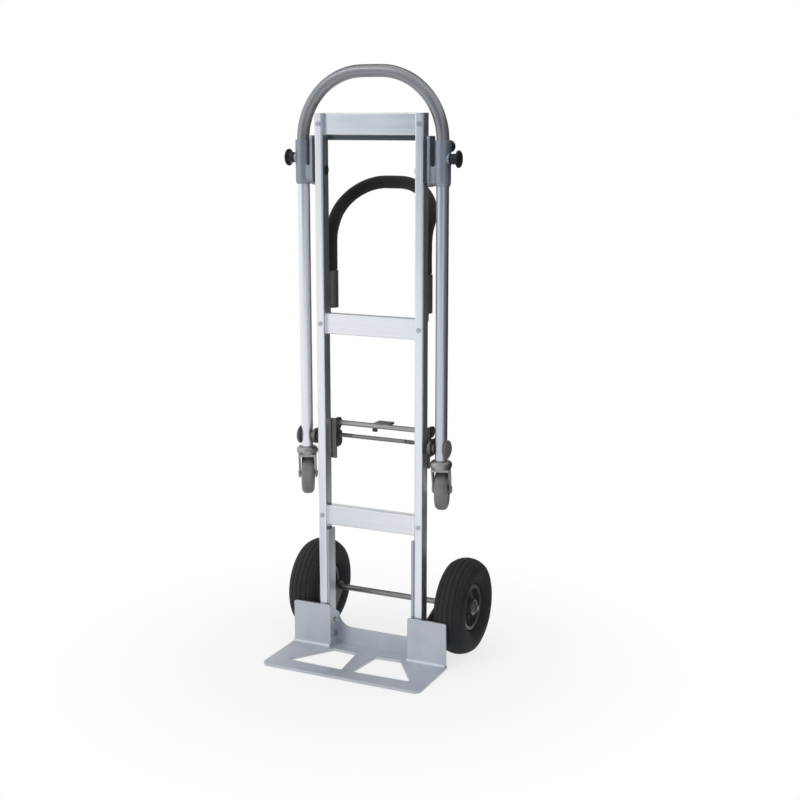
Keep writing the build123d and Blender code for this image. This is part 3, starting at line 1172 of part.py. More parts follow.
keep(rear_tube(REAR_LEG_BOTTOM, REAR_TUBE_RADIUS, REAR_BORE), "rear_handle_tube")
keep(rear_tube(SOCKET_TOP + FACE_GAP, FOAM_RADIUS, REAR_TUBE_RADIUS + SEAT_GAP), "rear_handle_grip")

with BuildPart() as handle_socket:
    rear_leg = [(REAR_LEG_X, REAR_LEG_Y)]
    along_z(rear_leg, SOCKET_RADIUS, SOCKET_BOTTOM, SOCKET_TOP)
    foot = (RAIL_DEPTH, RAIL_DEPTH + SOCKET_FOOT_THICK)
    block((RAIL_IN, RAIL_OUT), foot, (SOCKET_BOTTOM, SOCKET_TOP))
    tail = (RAIL_X - SOCKET_TAIL_WIDTH / 2, RAIL_X + SOCKET_TAIL_WIDTH / 2)
    block(tail, foot, (SOCKET_TAIL, SOCKET_TOP))
    along_y(SOCKET_BOLTS, SPOT_FACE_RADIUS, REAR_LEG_Y, SOCKET_BACK + SPOT_FACE)
    floor_z = REAR_LEG_BOTTOM - FACE_GAP
    along_z(rear_leg, REAR_TUBE_RADIUS + SEAT_GAP, floor_z, SOCKET_TOP + CUT, Mode.SUBTRACT)
    hole_ends = (RAIL_DEPTH - CUT, SOCKET_BACK + SPOT_FACE + CUT)
    along_y(SOCKET_BOLTS, SMALL_BOLT_RADIUS + SEAT_GAP, *hole_ends, Mode.SUBTRACT)
keep_pair(handle_socket.part, "handle_socket")

with BuildPart() as socket_bolts:
    head = SOCKET_BACK + SPOT_FACE
    along_y(SOCKET_BOLTS, SMALL_BOLT_RADIUS, RAIL_DEPTH - 2 * RAIL_WALL, head)
    along_y(SOCKET_BOLTS, SMALL_HEAD_RADIUS, head, head + SMALL_HEAD)
    mirror(about=Plane.YZ)
keep(socket_bolts.part, "handle_socket_bolts")
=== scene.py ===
import math

import bpy
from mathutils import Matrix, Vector, noise


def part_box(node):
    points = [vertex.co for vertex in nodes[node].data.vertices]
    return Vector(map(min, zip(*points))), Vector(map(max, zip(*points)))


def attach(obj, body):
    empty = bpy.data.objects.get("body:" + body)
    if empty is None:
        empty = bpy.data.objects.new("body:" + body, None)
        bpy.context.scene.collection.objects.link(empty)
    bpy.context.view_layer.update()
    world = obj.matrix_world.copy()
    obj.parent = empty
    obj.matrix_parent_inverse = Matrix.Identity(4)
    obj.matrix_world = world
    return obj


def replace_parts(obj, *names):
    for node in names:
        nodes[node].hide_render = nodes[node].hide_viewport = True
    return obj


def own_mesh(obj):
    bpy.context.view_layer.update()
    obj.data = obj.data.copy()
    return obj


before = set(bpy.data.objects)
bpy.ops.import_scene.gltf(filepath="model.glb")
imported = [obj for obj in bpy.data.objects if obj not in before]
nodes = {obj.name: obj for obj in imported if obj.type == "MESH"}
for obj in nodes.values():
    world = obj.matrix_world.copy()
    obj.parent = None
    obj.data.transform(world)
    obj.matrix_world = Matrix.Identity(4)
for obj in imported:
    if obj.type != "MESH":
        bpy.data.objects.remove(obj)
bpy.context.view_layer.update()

scene = bpy.context.scene
TAU = 2 * math.pi

# Camera, at the photograph's viewing angle
CAMERA_PLACE = (1.5409, -3.1125, 1.4088)
CAMERA_TURN = (78.49, 0.0, 25.0)
CAMERA_LENS = 61.29
CAMERA_SENSOR = 36.0

# Main wheels, in metres, about the axle
WHEEL_X = 0.2185
AXLE_Y = 0.128
WHEEL_RADIUS = 0.130
BEAD_HALF = 0.0227
BEAD_RADIUS = 0.0563
BEAD_TOP = 0.063
BEAD_CHAMFER = (0.001, 0.002)
SIDEWALL_RINGS = ((0.069, 0.0012, 0.0008), (0.0755, 0.0007, 0.0004), (0.1065, 0.0009, 0.0005))
SIDEWALL_STEPS = 44
TYRE_HALF = 0.042
TREAD_EDGE = 0.036
TREAD_DROP = 0.013
GROOVE_WIDTH = 0.0032
GROOVE_DEPTH = 0.0020
GROOVE_PITCH = 0.014
GROOVE_PLACES = (1.5, 0.5)
GROOVE_STEPS = ((1.5, 0.0), (1.12, 0.12), (0.85, 0.9), (0.7, 1.0))
ZIGZAG = 0.0005
NOTCHES = 84
NOTCH_DEPTH = 0.0009
NOTCH_STEPS = ((0.0356, 0.35), (0.0340, 1), (0.0275, 1), (0.0268, 0))
NOTCH_SPAN = (0.08, 0.42)

# Rear handle's centre line, in metres
REAR_LEG_X = 0.1355
REAR_LEG_Y = 0.055
REAR_BEND_Z = 1.101
REAR_BEND_RADIUS = 0.090
REAR_LEAN = math.radians(37)
REAR_ARCH_RADIUS = 0.119
REAR_ARCH_RISE = 0.008
FOAM_RADIUS = 0.017
FOAM_BORE = 0.0123
FOAM_EDGE = 0.0035
FOAM_SIDES = 36
FOAM_STEP = 0.0022
FOAM_LUMP = 0.00022
FOAM_LUMP_RATE = 38.0
FOAM_LUMP_REACH = 0.02
FOAM_SINK = 0.0002
CREASE_DEPTH = 0.00075
CREASE_PITCH = 0.0105
BORE_THINNING = 6

# Latch springs, in metres
LATCH_Y = 0.058
LATCH_PIN_Z = 0.586
SPRING_START = 0.0773
SPRING_END = 0.1157
SPRING_RADIUS = 0.0053
SPRING_WIRE = 0.0008
SPRING_TURNS = 9
SPRING_STEPS = 40
SPRING_SIDES = 12
CLOSED_PITCH = 0.34
CLOSED_TURNS = 0.25


# Node trees
def shader(name, **constants):
    """A new material, its node tree and its shader, with the sockets that are the same all over."""
    material = bpy.data.materials.new(name)
    material.use_nodes = True
    tree = material.node_tree
    principled = tree.nodes["Principled BSDF"]
    for socket, value in constants.items():
        principled.inputs[socket.replace("_", " ")].default_value = value
    return material, tree, principled


def node(tree, kind, inputs=None, **settings):
    """A node with its settings, its inputs linked or set."""
    made = tree.nodes.new("ShaderNode" + kind)
    for key, value in settings.items():
        setattr(made, key, value)
    for key, value in (inputs or {}).items():
        if isinstance(value, bpy.types.NodeSocket):
            tree.links.new(value, made.inputs[key])
        else:
            made.inputs[key].default_value = value
    return made


def place(tree, stretch=(1, 1, 1)):
    """Coordinates in the part's own frame, in metres."""
    origin = node(tree, "TexCoord").outputs["Object"]
    return node(tree, "Mapping", {"Vector": origin, "Scale": stretch}).outputs["Vector"]


def grain(tree, scale, stretch=(1, 1, 1), detail=4.0, roughness=0.55):
    """Noise with a feature size of about 1 / scale metres."""
    inputs = {"Vector": place(tree, stretch), "Scale": scale, "Detail": detail, "Roughness": roughness}
    return node(tree, "TexNoise", inputs).outputs["Fac"]


def cells(tree, scale, feature="F1"):
    """Distance in a pattern of cells."""
    inputs = {"Vector": place(tree), "Scale": scale}
    return node(tree, "TexVoronoi", inputs, feature=feature).outputs["Distance"]


def levels(tree, value, low, high, to_low=0.0, to_high=1.0):
    """A value moved from one range to another."""
    inputs = {"Value": value, "From Min": low, "From Max": high, "To Min": to_low, "To Max": to_high}
    return node(tree, "MapRange", inputs).outputs["Result"]


def times(tree, a, b):
    return node(tree, "Math", {0: a, 1: b}, operation="MULTIPLY").outputs[0]


def plus(tree, a, b):
    return node(tree, "Math", {0: a, 1: b}, operation="ADD").outputs[0]


def mix(tree, share, a, b):
    """Two colours mixed by a share."""
    return node(tree, "Mix", {0: share, 6: a, 7: b}, data_type="RGBA").outputs[2]


def soft_edges(tree, radius):
    """Normals rounded over the edges."""
    return node(tree, "Bevel", {"Radius": radius}, samples=4).outputs["Normal"]


def edge_wear(tree, radius, spots):
    """Share of wear along outer edges, broken up by spots."""
    flat = node(tree, "NewGeometry").outputs["Normal"]
    corner = {0: soft_edges(tree, radius), 1: flat}
    facing = node(tree, "VectorMath", corner, operation="DOT_PRODUCT").outputs["Value"]
    return times(tree, levels(tree, facing, 0.97, 0.80), levels(tree, spots, 0.42, 0.62))


def relief(tree, height, depth, normal=None):
    """A normal bumped by a height of that depth in metres."""
    inputs = {"Height": height, "Distance": depth, "Strength": 1.0}
    if normal is not None:
        inputs["Normal"] = normal
    return node(tree, "Bump", inputs).outputs["Normal"]


def finish(tree, principled, colour, roughness, normal):
    tree.links.new(colour, principled.inputs["Base Color"])
    tree.links.new(roughness, principled.inputs["Roughness"])
    tree.links.new(normal, principled.inputs["Normal"])


def grey(level, tint=0.0):
    """A grey that leans to blue by the tint."""
    return (level * (1 - tint), level * (1 - 0.3 * tint), level * (1 + tint), 1.0)


# Finishes
MIDDLE = (0.3, 0.7)     # range of a noise that holds most of its values


def extrusion(name, stretch, light, dark, smooth, coarse, lip=None):
    """Mill finish aluminium with die lines along its length; below a given height it turns near black, a
    painted shade on a lower lip.
    """
    material, tree, principled = shader(name, Metallic=1.0)
    lines = grain(tree, 300.0, stretch, 6.0, 0.6)
    clouds = grain(tree, 7.0, detail=3.0)
    scuffs = grain(tree, 90.0, (1.0, 1.6, 0.5), 8.0, 0.7)
    colour = mix(tree, levels(tree, lines, 0.32, 0.68), dark, light)
    colour = mix(tree, levels(tree, clouds, 0.48, 0.80, 0.0, 0.30), colour, dark)
    colour = mix(tree, levels(tree, scuffs, 0.66, 0.74, 0.0, 0.35), colour, grey(0.50, 0.03))
    # painted shade: below the lip height the colour turns near black, standing in for the shade on the
    # brace's lower lip
    if lip:
        height = node(tree, "SeparateXYZ", {0: place(tree)}).outputs["Z"]
        colour = mix(tree, levels(tree, height, lip - 0.001, lip, 0.9, 0.0), colour, grey(0.045, 0.12))
    rough = levels(tree, lines, *MIDDLE, smooth, coarse)
    rough = plus(tree, rough, levels(tree, clouds, 0.45, 0.75, 0.0, 0.07))
    finish(tree, principled, colour, rough, relief(tree, lines, 0.00004, soft_edges(tree, 0.0012)))
    return material


def satin_coat(name, light, dark, metallic, rough, peel):
    """A grey metallic coat with a fine orange peel, rubbed brighter along edges."""
    material, tree, principled = shader(name, Metallic=metallic, Specular_IOR_Level=0.35)
    flakes = cells(tree, 2600.0)
    clouds = grain(tree, 11.0, detail=4.0)
    skin = grain(tree, 420.0, detail=3.0)
    wear = edge_wear(tree, 0.0015, grain(tree, 130.0, detail=6.0))
    colour = mix(tree, levels(tree, clouds, *MIDDLE), dark, light)
    colour = mix(tree, levels(tree, flakes, 0.1, 0.5, 0.10, 0.0), colour, grey(0.6))
    colour = mix(tree, times(tree, wear, 0.6), colour, grey(0.45))
    rough = levels(tree, clouds, *MIDDLE, rough - 0.05, rough + 0.06)
    finish(tree, principled, colour, rough, relief(tree, skin, peel, soft_edges(tree, 0.0012)))
    return material


def cast_metal(name, light, dark, metallic, rough, worn):
    """A casting with a sandy skin, smoother and brighter where it is rubbed."""
    material, tree, principled = shader(name, Metallic=metallic)
    sand = grain(tree, 620.0, detail=5.0, roughness=0.65)
    pits = cells(tree, 260.0)
    clouds = grain(tree, 9.0, detail=5.0)
    scratches = grain(tree, 60.0, (0.35, 3.0, 3.0), 9.0, 0.72)
    wear = edge_wear(tree, 0.0018, grain(tree, 90.0, detail=6.0))
    colour = mix(tree, levels(tree, clouds, *MIDDLE), dark, light)
    colour = mix(tree, levels(tree, sand, 0.55, 0.75, 0.0, 0.25), colour, dark)
    colour = mix(tree, levels(tree, scratches, 0.64, 0.72, 0.0, 0.35), colour, worn)
    colour = mix(tree, wear, colour, worn)
    rough = plus(tree, levels(tree, clouds, *MIDDLE, rough - 0.05, rough + 0.05), times(tree, wear, -0.12))
    height = plus(tree, sand, levels(tree, pits, 0.0, 0.25, -0.4, 0.0))
    finish(tree, principled, colour, rough, relief(tree, height, 0.00011, soft_edges(tree, 0.0015)))
    return material


def dark_coat(name, colour_low, colour_high, rough, worn, peel):
    """Powder coat or enamel with a fine peel, worn through along its edges."""
    material, tree, principled = shader(name, Coat_Weight=0.15, Coat_Roughness=0.3)
    skin = grain(tree, 900.0, detail=3.0)
    clouds = grain(tree, 24.0, detail=5.0)
    dust = grain(tree, 150.0, detail=7.0, roughness=0.7)
    wear = edge_wear(tree, 0.0012, grain(tree, 160.0, detail=6.0))
    colour = mix(tree, levels(tree, clouds, *MIDDLE), colour_low, colour_high)
    colour = mix(tree, levels(tree, dust, 0.56, 0.8, 0.0, 0.35), colour, grey(0.22))
    colour = mix(tree, wear, colour, worn)
    rough = levels(tree, clouds, *MIDDLE, rough - 0.05, rough + 0.08)
    finish(tree, principled, colour, rough, relief(tree, skin, peel, soft_edges(tree, 0.001)))
    return material


def steel(name, stretch, light, dark, smooth, coarse):
    """Plated steel with drawing marks along the stretch."""
    material, tree, principled = shader(name, Metallic=1.0)
    lines = grain(tree, 700.0, stretch, 5.0)
    spots = grain(tree, 45.0, detail=7.0, roughness=0.65)
    colour = mix(tree, levels(tree, lines, *MIDDLE), dark, light)
    colour = mix(tree, levels(tree, spots, 0.55, 0.78, 0.0, 0.5), colour, grey(0.28, -0.04))
    rough = levels(tree, lines, *MIDDLE, smooth, coarse)
    rough = plus(tree, rough, levels(tree, spots, 0.5, 0.8, 0.0, 0.15))
    finish(tree, principled, colour, rough, relief(tree, lines, 0.00003, soft_edges(tree, 0.0006)))
    return material


def zinc(name, low, high):
    """Zinc plate with a fine spangle and a faint change of hue."""
    material, tree, principled = shader(name, Metallic=1.0)
    spangle = cells(tree, 420.0)
    hue = grain(tree, 60.0, detail=4.0)
    dirt = grain(tree, 80.0, detail=7.0, roughness=0.7)
    colour = mix(tree, levels(tree, spangle, 0.0, 0.6), grey(low), grey(high))
    colour = mix(tree, levels(tree, hue, 0.35, 0.65, 0.0, 0.35), colour, grey(high, -0.08))
    colour = mix(tree, levels(tree, dirt, 0.58, 0.8, 0.0, 0.5), colour, grey(low / 3))
    rough = levels(tree, spangle, 0.0, 0.6, 0.30, 0.46)
    finish(tree, principled, colour, rough, relief(tree, hue, 0.00006, soft_edges(tree, 0.0008)))
    return material


def rubber(name, low, high, rough, dust_colour, dusty):
    """Moulded rubber with a dry skin and dust."""
    material, tree, principled = shader(name, Specular_IOR_Level=0.28, Sheen_Weight=0.03, Sheen_Roughness=0.6)
    skin = grain(tree, 1300.0, detail=4.0)
    clouds = grain(tree, 26.0, detail=5.0)
    dust = grain(tree, 70.0, detail=8.0, roughness=0.72)
    colour = mix(tree, levels(tree, clouds, *MIDDLE), low, high)
    colour = mix(tree, levels(tree, dust, 0.5, 0.85, 0.0, dusty), colour, dust_colour)
    rough = levels(tree, clouds, *MIDDLE, rough - 0.06, rough + 0.1)
    finish(tree, principled, colour, rough, relief(tree, skin, 0.00007))
    return material


def foam(name):
    """Closed-cell foam: a matte skin of small round cells."""
    material, tree, principled = shader(name, Specular_IOR_Level=0.22, Sheen_Weight=0.12, Sheen_Roughness=0.7)
    fine = cells(tree, 950.0, "SMOOTH_F1")
    large = cells(tree, 330.0, "SMOOTH_F1")
    clouds = grain(tree, 30.0, detail=5.0)
    colour = mix(tree, levels(tree, clouds, *MIDDLE), grey(0.006), grey(0.014))
    colour = mix(tree, levels(tree, fine, 0.35, 0.7, 0.0, 0.5), colour, grey(0.004))
    rough = levels(tree, clouds, *MIDDLE, 0.82, 0.95)
    height = plus(tree, times(tree, fine, -0.6), times(tree, large, -0.7))
    finish(tree, principled, colour, rough, relief(tree, height, 0.00022))
    return material


def plastic(name, low, high, rough, depth):
    """Moulded plastic with a spark-eroded grain."""
    material, tree, principled = shader(name, Specular_IOR_Level=0.45)
    skin = cells(tree, 1100.0)
    clouds = grain(tree, 40.0, detail=4.0)
    wear = edge_wear(tree, 0.001, grain(tree, 200.0, detail=5.0))
    colour = mix(tree, levels(tree, clouds, *MIDDLE), low, high)
    colour = mix(tree, times(tree, wear, 0.3), colour, grey(0.35))
    rough = levels(tree, clouds, *MIDDLE, rough - 0.05, rough + 0.08)
    finish(tree, principled, colour, rough, relief(tree, skin, depth, soft_edges(tree, 0.0008)))
    return material


ALONG_X = (0.012, 1.0, 1.0)
ALONG_Z = (1.0, 1.0, 0.012)
EVERY_WAY = (1, 1, 1)
PAINTED_SHADE_HEIGHT = 1.3785        # height below which the top brace's lower lip is painted in shade
bright = grey(0.87, 0.04)
dull = grey(0.80, 0.04)
rubber_black = rubber("tyre_rubber", grey(0.020, 0.10), grey(0.030, 0.10), 0.74, grey(0.05), 0.2)
foam_black = foam("foam")
spring_steel = steel("spring_steel", EVERY_WAY, grey(0.30), grey(0.18), 0.30, 0.44)
FINISHES = [
    (extrusion("rail_aluminium", ALONG_Z, bright, dull, 0.30, 0.40), "left_rail right_rail"),
    # painted shade: the doublers are a darker copy of the rails' aluminium, standing in for the shade on the
    # rails' inner side
    (
        extrusion("doubler_aluminium_painted_shade", ALONG_Z, grey(0.50, 0.06), grey(0.43, 0.06), 0.32, 0.42),
        "rail_doublers",
    ),
    (extrusion("brace_aluminium", ALONG_X, bright, dull, 0.30, 0.40), "middle_cross_brace lower_cross_brace"),
    # painted shade: the top brace's lower lip is coloured near black below the shade height
    (extrusion("top_brace_aluminium_painted_shade", ALONG_X, bright, dull, 0.30, 0.40, PAINTED_SHADE_HEIGHT), "top_cross_brace"),
    (
        extrusion("left_tube_aluminium", ALONG_Z, grey(0.86, 0.04), grey(0.79, 0.04), 0.28, 0.36),
        "left_leg_tube",
    ),
    # painted shade: the right leg tube is a darker copy of the left tube's aluminium, standing in for the
    # shade on it
    (
        extrusion("right_tube_aluminium_painted_shade", ALONG_Z, grey(0.64, 0.08), grey(0.58, 0.08), 0.28, 0.36),
        "right_leg_tube",
    ),
    (satin_coat("loop_coat", grey(0.33, 0.03), grey(0.28, 0.03), 0.78, 0.40, 0.00002), "loop_handle"),
    (
        cast_metal("casting_coat", grey(0.38, 0.12), grey(0.29, 0.12), 0.80, 0.46, grey(0.50, 0.08)),
        "left_pivot_casting right_pivot_casting",
    ),
    (
        cast_metal("socket_coat", grey(0.17, 0.04), grey(0.11, 0.04), 0.50, 0.50, grey(0.30, 0.03)),
        "left_handle_socket right_handle_socket",
    ),
    (
        cast_metal("plate_coat", grey(0.66, 0.075), grey(0.55, 0.075), 0.50, 0.46, grey(0.75, 0.05)),
        "toe_plate",
    ),
    (satin_coat("stud_coat", grey(0.20, 0.02), grey(0.15, 0.02), 0.20, 0.46, 0.00004), "leg_studs"),
    # painted shade: the axle brackets, pivot plates and pivot pins are coloured near black to match the shade
    # beside the rails and wheels; the latch pedal is black
    (
        dark_coat("black_coat_and_painted_shade", grey(0.012), grey(0.024), 0.50, grey(0.14), 0.00006),
        "left_axle_bracket right_axle_bracket latch_pedal pivot_plates pivot_pins",
    ),
    (steel("rod_steel", ALONG_X, grey(0.44), grey(0.33), 0.26, 0.38), "latch_shaft"),
    (
        steel("dark_rod_steel", ALONG_X, grey(0.30), grey(0.21), 0.26, 0.38),
        "axle left_latch_pin right_latch_pin",
    ),
    (
        steel("bolt_steel", EVERY_WAY, grey(0.48), grey(0.34), 0.30, 0.44),
        "axle_washers axle_cotter_pins handle_socket_bolts latch_bracket_bolts rear_handle_tube leg_spigots"
        " left_wheel_bearings right_wheel_bearings plunger_springs left_caster_axle right_caster_axle",
    ),
    (steel("rivet_steel", EVERY_WAY, grey(0.56, 0.06), grey(0.45, 0.06), 0.30, 0.44), "brace_rivets"),
    # painted shade: the caster heads and forks get a darkened zinc, standing in for the shade inside the
    # forks
    (zinc("head_zinc_painted_shade", 0.26, 0.38), "caster_heads left_caster_fork right_caster_fork rail_foot_bolts"),
    (zinc("latch_zinc", 0.10, 0.18), "left_latch_bracket right_latch_bracket leg_lugs"),
    (
        dark_coat("rim_enamel", grey(0.060, 0.10), grey(0.095, 0.10), 0.36, grey(0.24), 0.00005),
        "left_wheel_rim right_wheel_rim",
    ),
    (rubber_black, "left_tyre right_tyre"),
    (foam_black, "rear_handle_grip"),
    (spring_steel, "left_latch_spring right_latch_spring"),
    (
        plastic("knob_plastic", grey(0.009), grey(0.015), 0.42, 0.00003),
        "left_side_plunger right_side_plunger left_rear_plunger right_rear_plunger plunger_barrels",
    ),
    (plastic("nylon", grey(0.74), grey(0.80), 0.45, 0.00002), "sleeve_bushes"),
    (
        plastic("caster_core", grey(0.20, 0.02), grey(0.26, 0.02), 0.42, 0.00003),
        "left_caster_core right_caster_core",
    ),
    (
        rubber("caster_rubber", grey(0.21, 0.04), grey(0.28, 0.04), 0.52, grey(0.34), 0.4),
        "left_caster_tyre right_caster_tyre",
    ),
]
for material, names in FINISHES:
    for name in names.split():
        for material_slot in nodes[name].material_slots:
            material_slot.material = material


# Meshes
def skin(name, rows, material, slot, body, closed=True):
    """A smooth mesh through rings of points. Its last ring joins the first, or both ends get caps."""
    count = len(rows[0])
    points = [p for row in rows for p in row]
    spans = len(rows) if closed else len(rows) - 1
    faces = []
    for i in range(spans):
        here = i * count
        there = ((i + 1) % len(rows)) * count
        for j in range(count):
            k = (j + 1) % count
            faces.append((here + j, here + k, there + k, there + j))
    if not closed:
        faces.append(tuple(reversed(range(count))))
        faces.append(tuple(range(len(points) - count, len(points))))
    mesh = bpy.data.meshes.new(name)
    mesh.from_pydata(points, [], faces)
    mesh.materials.append(material)
    mesh.shade_smooth()
    piece = bpy.data.objects.new(name, mesh)
    scene.collection.objects.link(piece)
    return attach(piece, body)


def arc(centre, radius, start, end, steps):
    """Points of an arc, angles in degrees, without its first point."""
    angles = [math.radians(start + (end - start) * n / steps) for n in range(1, steps + 1)]
    return [(centre[0] + radius * math.cos(a), centre[1] + radius * math.sin(a)) for a in angles]


def through(a, b, c):
    """Centre and radius of the circle through three points."""
    ax, ay = a
    bx, by = b[0] - ax, b[1] - ay
    cx, cy = c[0] - ax, c[1] - ay
    twice = 2 * (bx * cy - by * cx)
    ux = (cy * (bx * bx + by * by) - by * (cx * cx + cy * cy)) / twice
    uy = (bx * (cx * cx + cy * cy) - cx * (bx * bx + by * by)) / twice
    return (ax + ux, ay + uy), math.hypot(ux, uy)


# Tyres
CROWN_RADIUS = (TREAD_EDGE ** 2 + TREAD_DROP ** 2) / (2 * TREAD_DROP)
SHOULDER = WHEEL_RADIUS - TREAD_DROP
BULGE = (BEAD_TOP + SHOULDER) / 2


def crown(x):
    """Radius of the tread at a distance from the tyre's middle."""
    return WHEEL_RADIUS - CROWN_RADIUS + math.sqrt(CROWN_RADIUS ** 2 - x * x)


def sidewall_rings(r):
    """Height of the fine raised rings round the sidewall."""
    return sum(high * math.exp(-(((r - at) / wide) ** 2)) for at, wide, high in SIDEWALL_RINGS)


def tyre_half():
    """Half section from bead to middle of the tread: distance, radius, share of zigzag, share of notch."""
    centre, radius = through((BEAD_HALF, BEAD_TOP), (TYRE_HALF, BULGE), (TREAD_EDGE, SHOULDER))
    first = math.degrees(math.atan2(BEAD_TOP - centre[1], BEAD_HALF - centre[0]))
    last = math.degrees(math.atan2(SHOULDER - centre[1], TREAD_EDGE - centre[0]))
    section = [(BEAD_HALF, BEAD_RADIUS + BEAD_CHAMFER[1], 0, 0), (BEAD_HALF, BEAD_TOP, 0, 0)]
    for x, r in arc(centre, radius, first, last, SIDEWALL_STEPS)[:-1]:
        way = Vector((x - centre[0], r - centre[1])).normalized() * sidewall_rings(r)
        section.append((x + way.x, r + way.y, 0, 0))
    section += [(x, crown(x), 0, notch) for x, notch in NOTCH_STEPS]
    half = GROOVE_WIDTH / 2
    for n in GROOVE_PLACES:
        x = GROOVE_PITCH * n
        for side in (1, -1):
            for reach, down in GROOVE_STEPS if side > 0 else reversed(GROOVE_STEPS):
                at = x + side * half * reach
                section.append((at, crown(at) - GROOVE_DEPTH * down, 1, 0))
        section.append((x - GROOVE_PITCH / 2, crown(x - GROOVE_PITCH / 2), 0, 0))
    return section


def tyre(side_name, side):
    """A tyre with grooves that zigzag round the tread and notches along its edges."""
    outer = tyre_half()
    left_half = [(-x, r, z, n) for x, r, z, n in outer]
    right_half = list(reversed(outer[:-1]))
    lip = BEAD_HALF - BEAD_CHAMFER[0]
    base = [(lip, BEAD_RADIUS, 0, 0), (-lip, BEAD_RADIUS, 0, 0)]
    ring = left_half + right_half + base
    rows = []
    for n in range(NOTCHES):
        for fraction in (0.0, *NOTCH_SPAN, 0.50):
            angle = TAU * (n + fraction) / NOTCHES
            swing = ZIGZAG * (1 if n % 2 else -1) * (1 - 4 * abs(fraction - 0.25))
            cut = NOTCH_DEPTH if fraction in NOTCH_SPAN else 0.0
            row = []
            for x, r, zig, notch in ring:
                reach = r - cut * notch
                row.append(
                    (
                        side * WHEEL_X + x + zig * swing,
                        AXLE_Y + reach * math.cos(angle),
                        WHEEL_RADIUS + reach * math.sin(angle),
                    )
                )
            rows.append(row)
    piece = skin(f"{side_name}_tread_tyre", rows, rubber_black, "tyre_rubber", f"{side_name}_wheel")
    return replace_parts(piece, f"{side_name}_tyre")


# Foam grip of the rear handle
BEND_Y = REAR_LEG_Y + REAR_BEND_RADIUS * (1 - math.cos(REAR_LEAN))
BEND_Z = REAR_BEND_Z + REAR_BEND_RADIUS * math.sin(REAR_LEAN)
ARCH_FLAT = REAR_LEG_X - REAR_ARCH_RADIUS
SLOPE = Vector((0, math.sin(REAR_LEAN), math.cos(REAR_LEAN)))
ARCH_FOOT = Vector((0, BEND_Y, BEND_Z)) + SLOPE * REAR_ARCH_RISE


def half_route(start):
    """Runs of the handle's right half from foot to middle: length, and place and bend along it."""
    leg = REAR_BEND_Z - start
    bend = REAR_BEND_RADIUS * REAR_LEAN
    turn = REAR_ARCH_RADIUS * math.pi / 2

    def on_leg(s):
        return Vector((REAR_LEG_X, REAR_LEG_Y, start + s)), 0.0

    def on_bend(s):
        a = s / REAR_BEND_RADIUS
        y = REAR_LEG_Y + REAR_BEND_RADIUS * (1 - math.cos(a))
        return Vector((REAR_LEG_X, y, REAR_BEND_Z + REAR_BEND_RADIUS * math.sin(a))), 0.0

    def on_rise(s):
        return Vector((REAR_LEG_X, BEND_Y, BEND_Z)) + SLOPE * s, 0.0

    def on_arch(s):
        a = s / REAR_ARCH_RADIUS
        across = Vector((ARCH_FLAT + REAR_ARCH_RADIUS * math.cos(a), 0, 0))
        return ARCH_FOOT + across + SLOPE * REAR_ARCH_RADIUS * math.sin(a), math.sin(2 * a)

    def on_flat(s):
        return ARCH_FOOT + Vector((ARCH_FLAT - s, 0, 0)) + SLOPE * REAR_ARCH_RADIUS, 0.0

    return [(leg, on_leg), (bend, on_bend), (REAR_ARCH_RISE, on_rise), (turn, on_arch), (ARCH_FLAT, on_flat)]


def route_points(start, step):
    """Places along the whole handle, with how much the arch bends there."""
    half = []
    for length, at in half_route(start):
        count = max(1, round(length / step))
        half += [at(length * n / count) for n in range(count)]
    middle = half_route(start)[-1][1](ARCH_FLAT)
    other = [(Vector((-p.x, p.y, p.z)), b) for p, b in reversed(half)]
    return half + [middle] + other


def grip():
    """One length of foam over the handle, lumpy and creased inside the bends."""
    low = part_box("rear_handle_grip")[0].z
    route = route_points(low, FOAM_STEP)
    places = [p for p, _ in route]
    total = sum((b - a).length for a, b in zip(places, places[1:]))
    outer, bore = [], []
    along = 0.0
    across = Vector((1, 0, 0))
    for n, (at, bend) in enumerate(route):
        before = places[max(0, n - 1)]
        after = places[min(len(places) - 1, n + 1)]
        way = (after - before).normalized()
        if n:
            along += (at - before).length
        across = (across - way * across.dot(way)).normalized()
        other = way.cross(across)
        inward = Vector((0, at.y, BEND_Z)) - at
        inward = (inward - way * inward.dot(way)).normalized()
        from_end = min(along, total - along)
        shrink = 0.0
        if from_end < FOAM_EDGE:
            shrink = FOAM_EDGE - math.sqrt(FOAM_EDGE ** 2 - (FOAM_EDGE - from_end) ** 2)
        ring, inner_ring = [], []
        for k in range(FOAM_SIDES):
            a = TAU * k / FOAM_SIDES
            out = across * math.cos(a) + other * math.sin(a)
            lump = FOAM_LUMP * noise.noise((at + out * FOAM_LUMP_REACH) * FOAM_LUMP_RATE)
            inside_bend = max(0.0, out.dot(inward)) ** 2 * bend
            crease = CREASE_DEPTH * inside_bend * (0.5 + 0.5 * math.cos(along * TAU / CREASE_PITCH)) ** 3
            ring.append(at + out * (FOAM_RADIUS - FOAM_SINK + lump - crease - shrink))
            inner_ring.append(at + out * FOAM_BORE)
        outer.append(ring)
        bore.append(inner_ring)
    rows = outer + list(reversed(bore))[::BORE_THINNING] + [bore[0]]
    piece = skin("foam_grip", rows, foam_black, "foam", "frame")
    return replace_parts(piece, "rear_handle_grip")


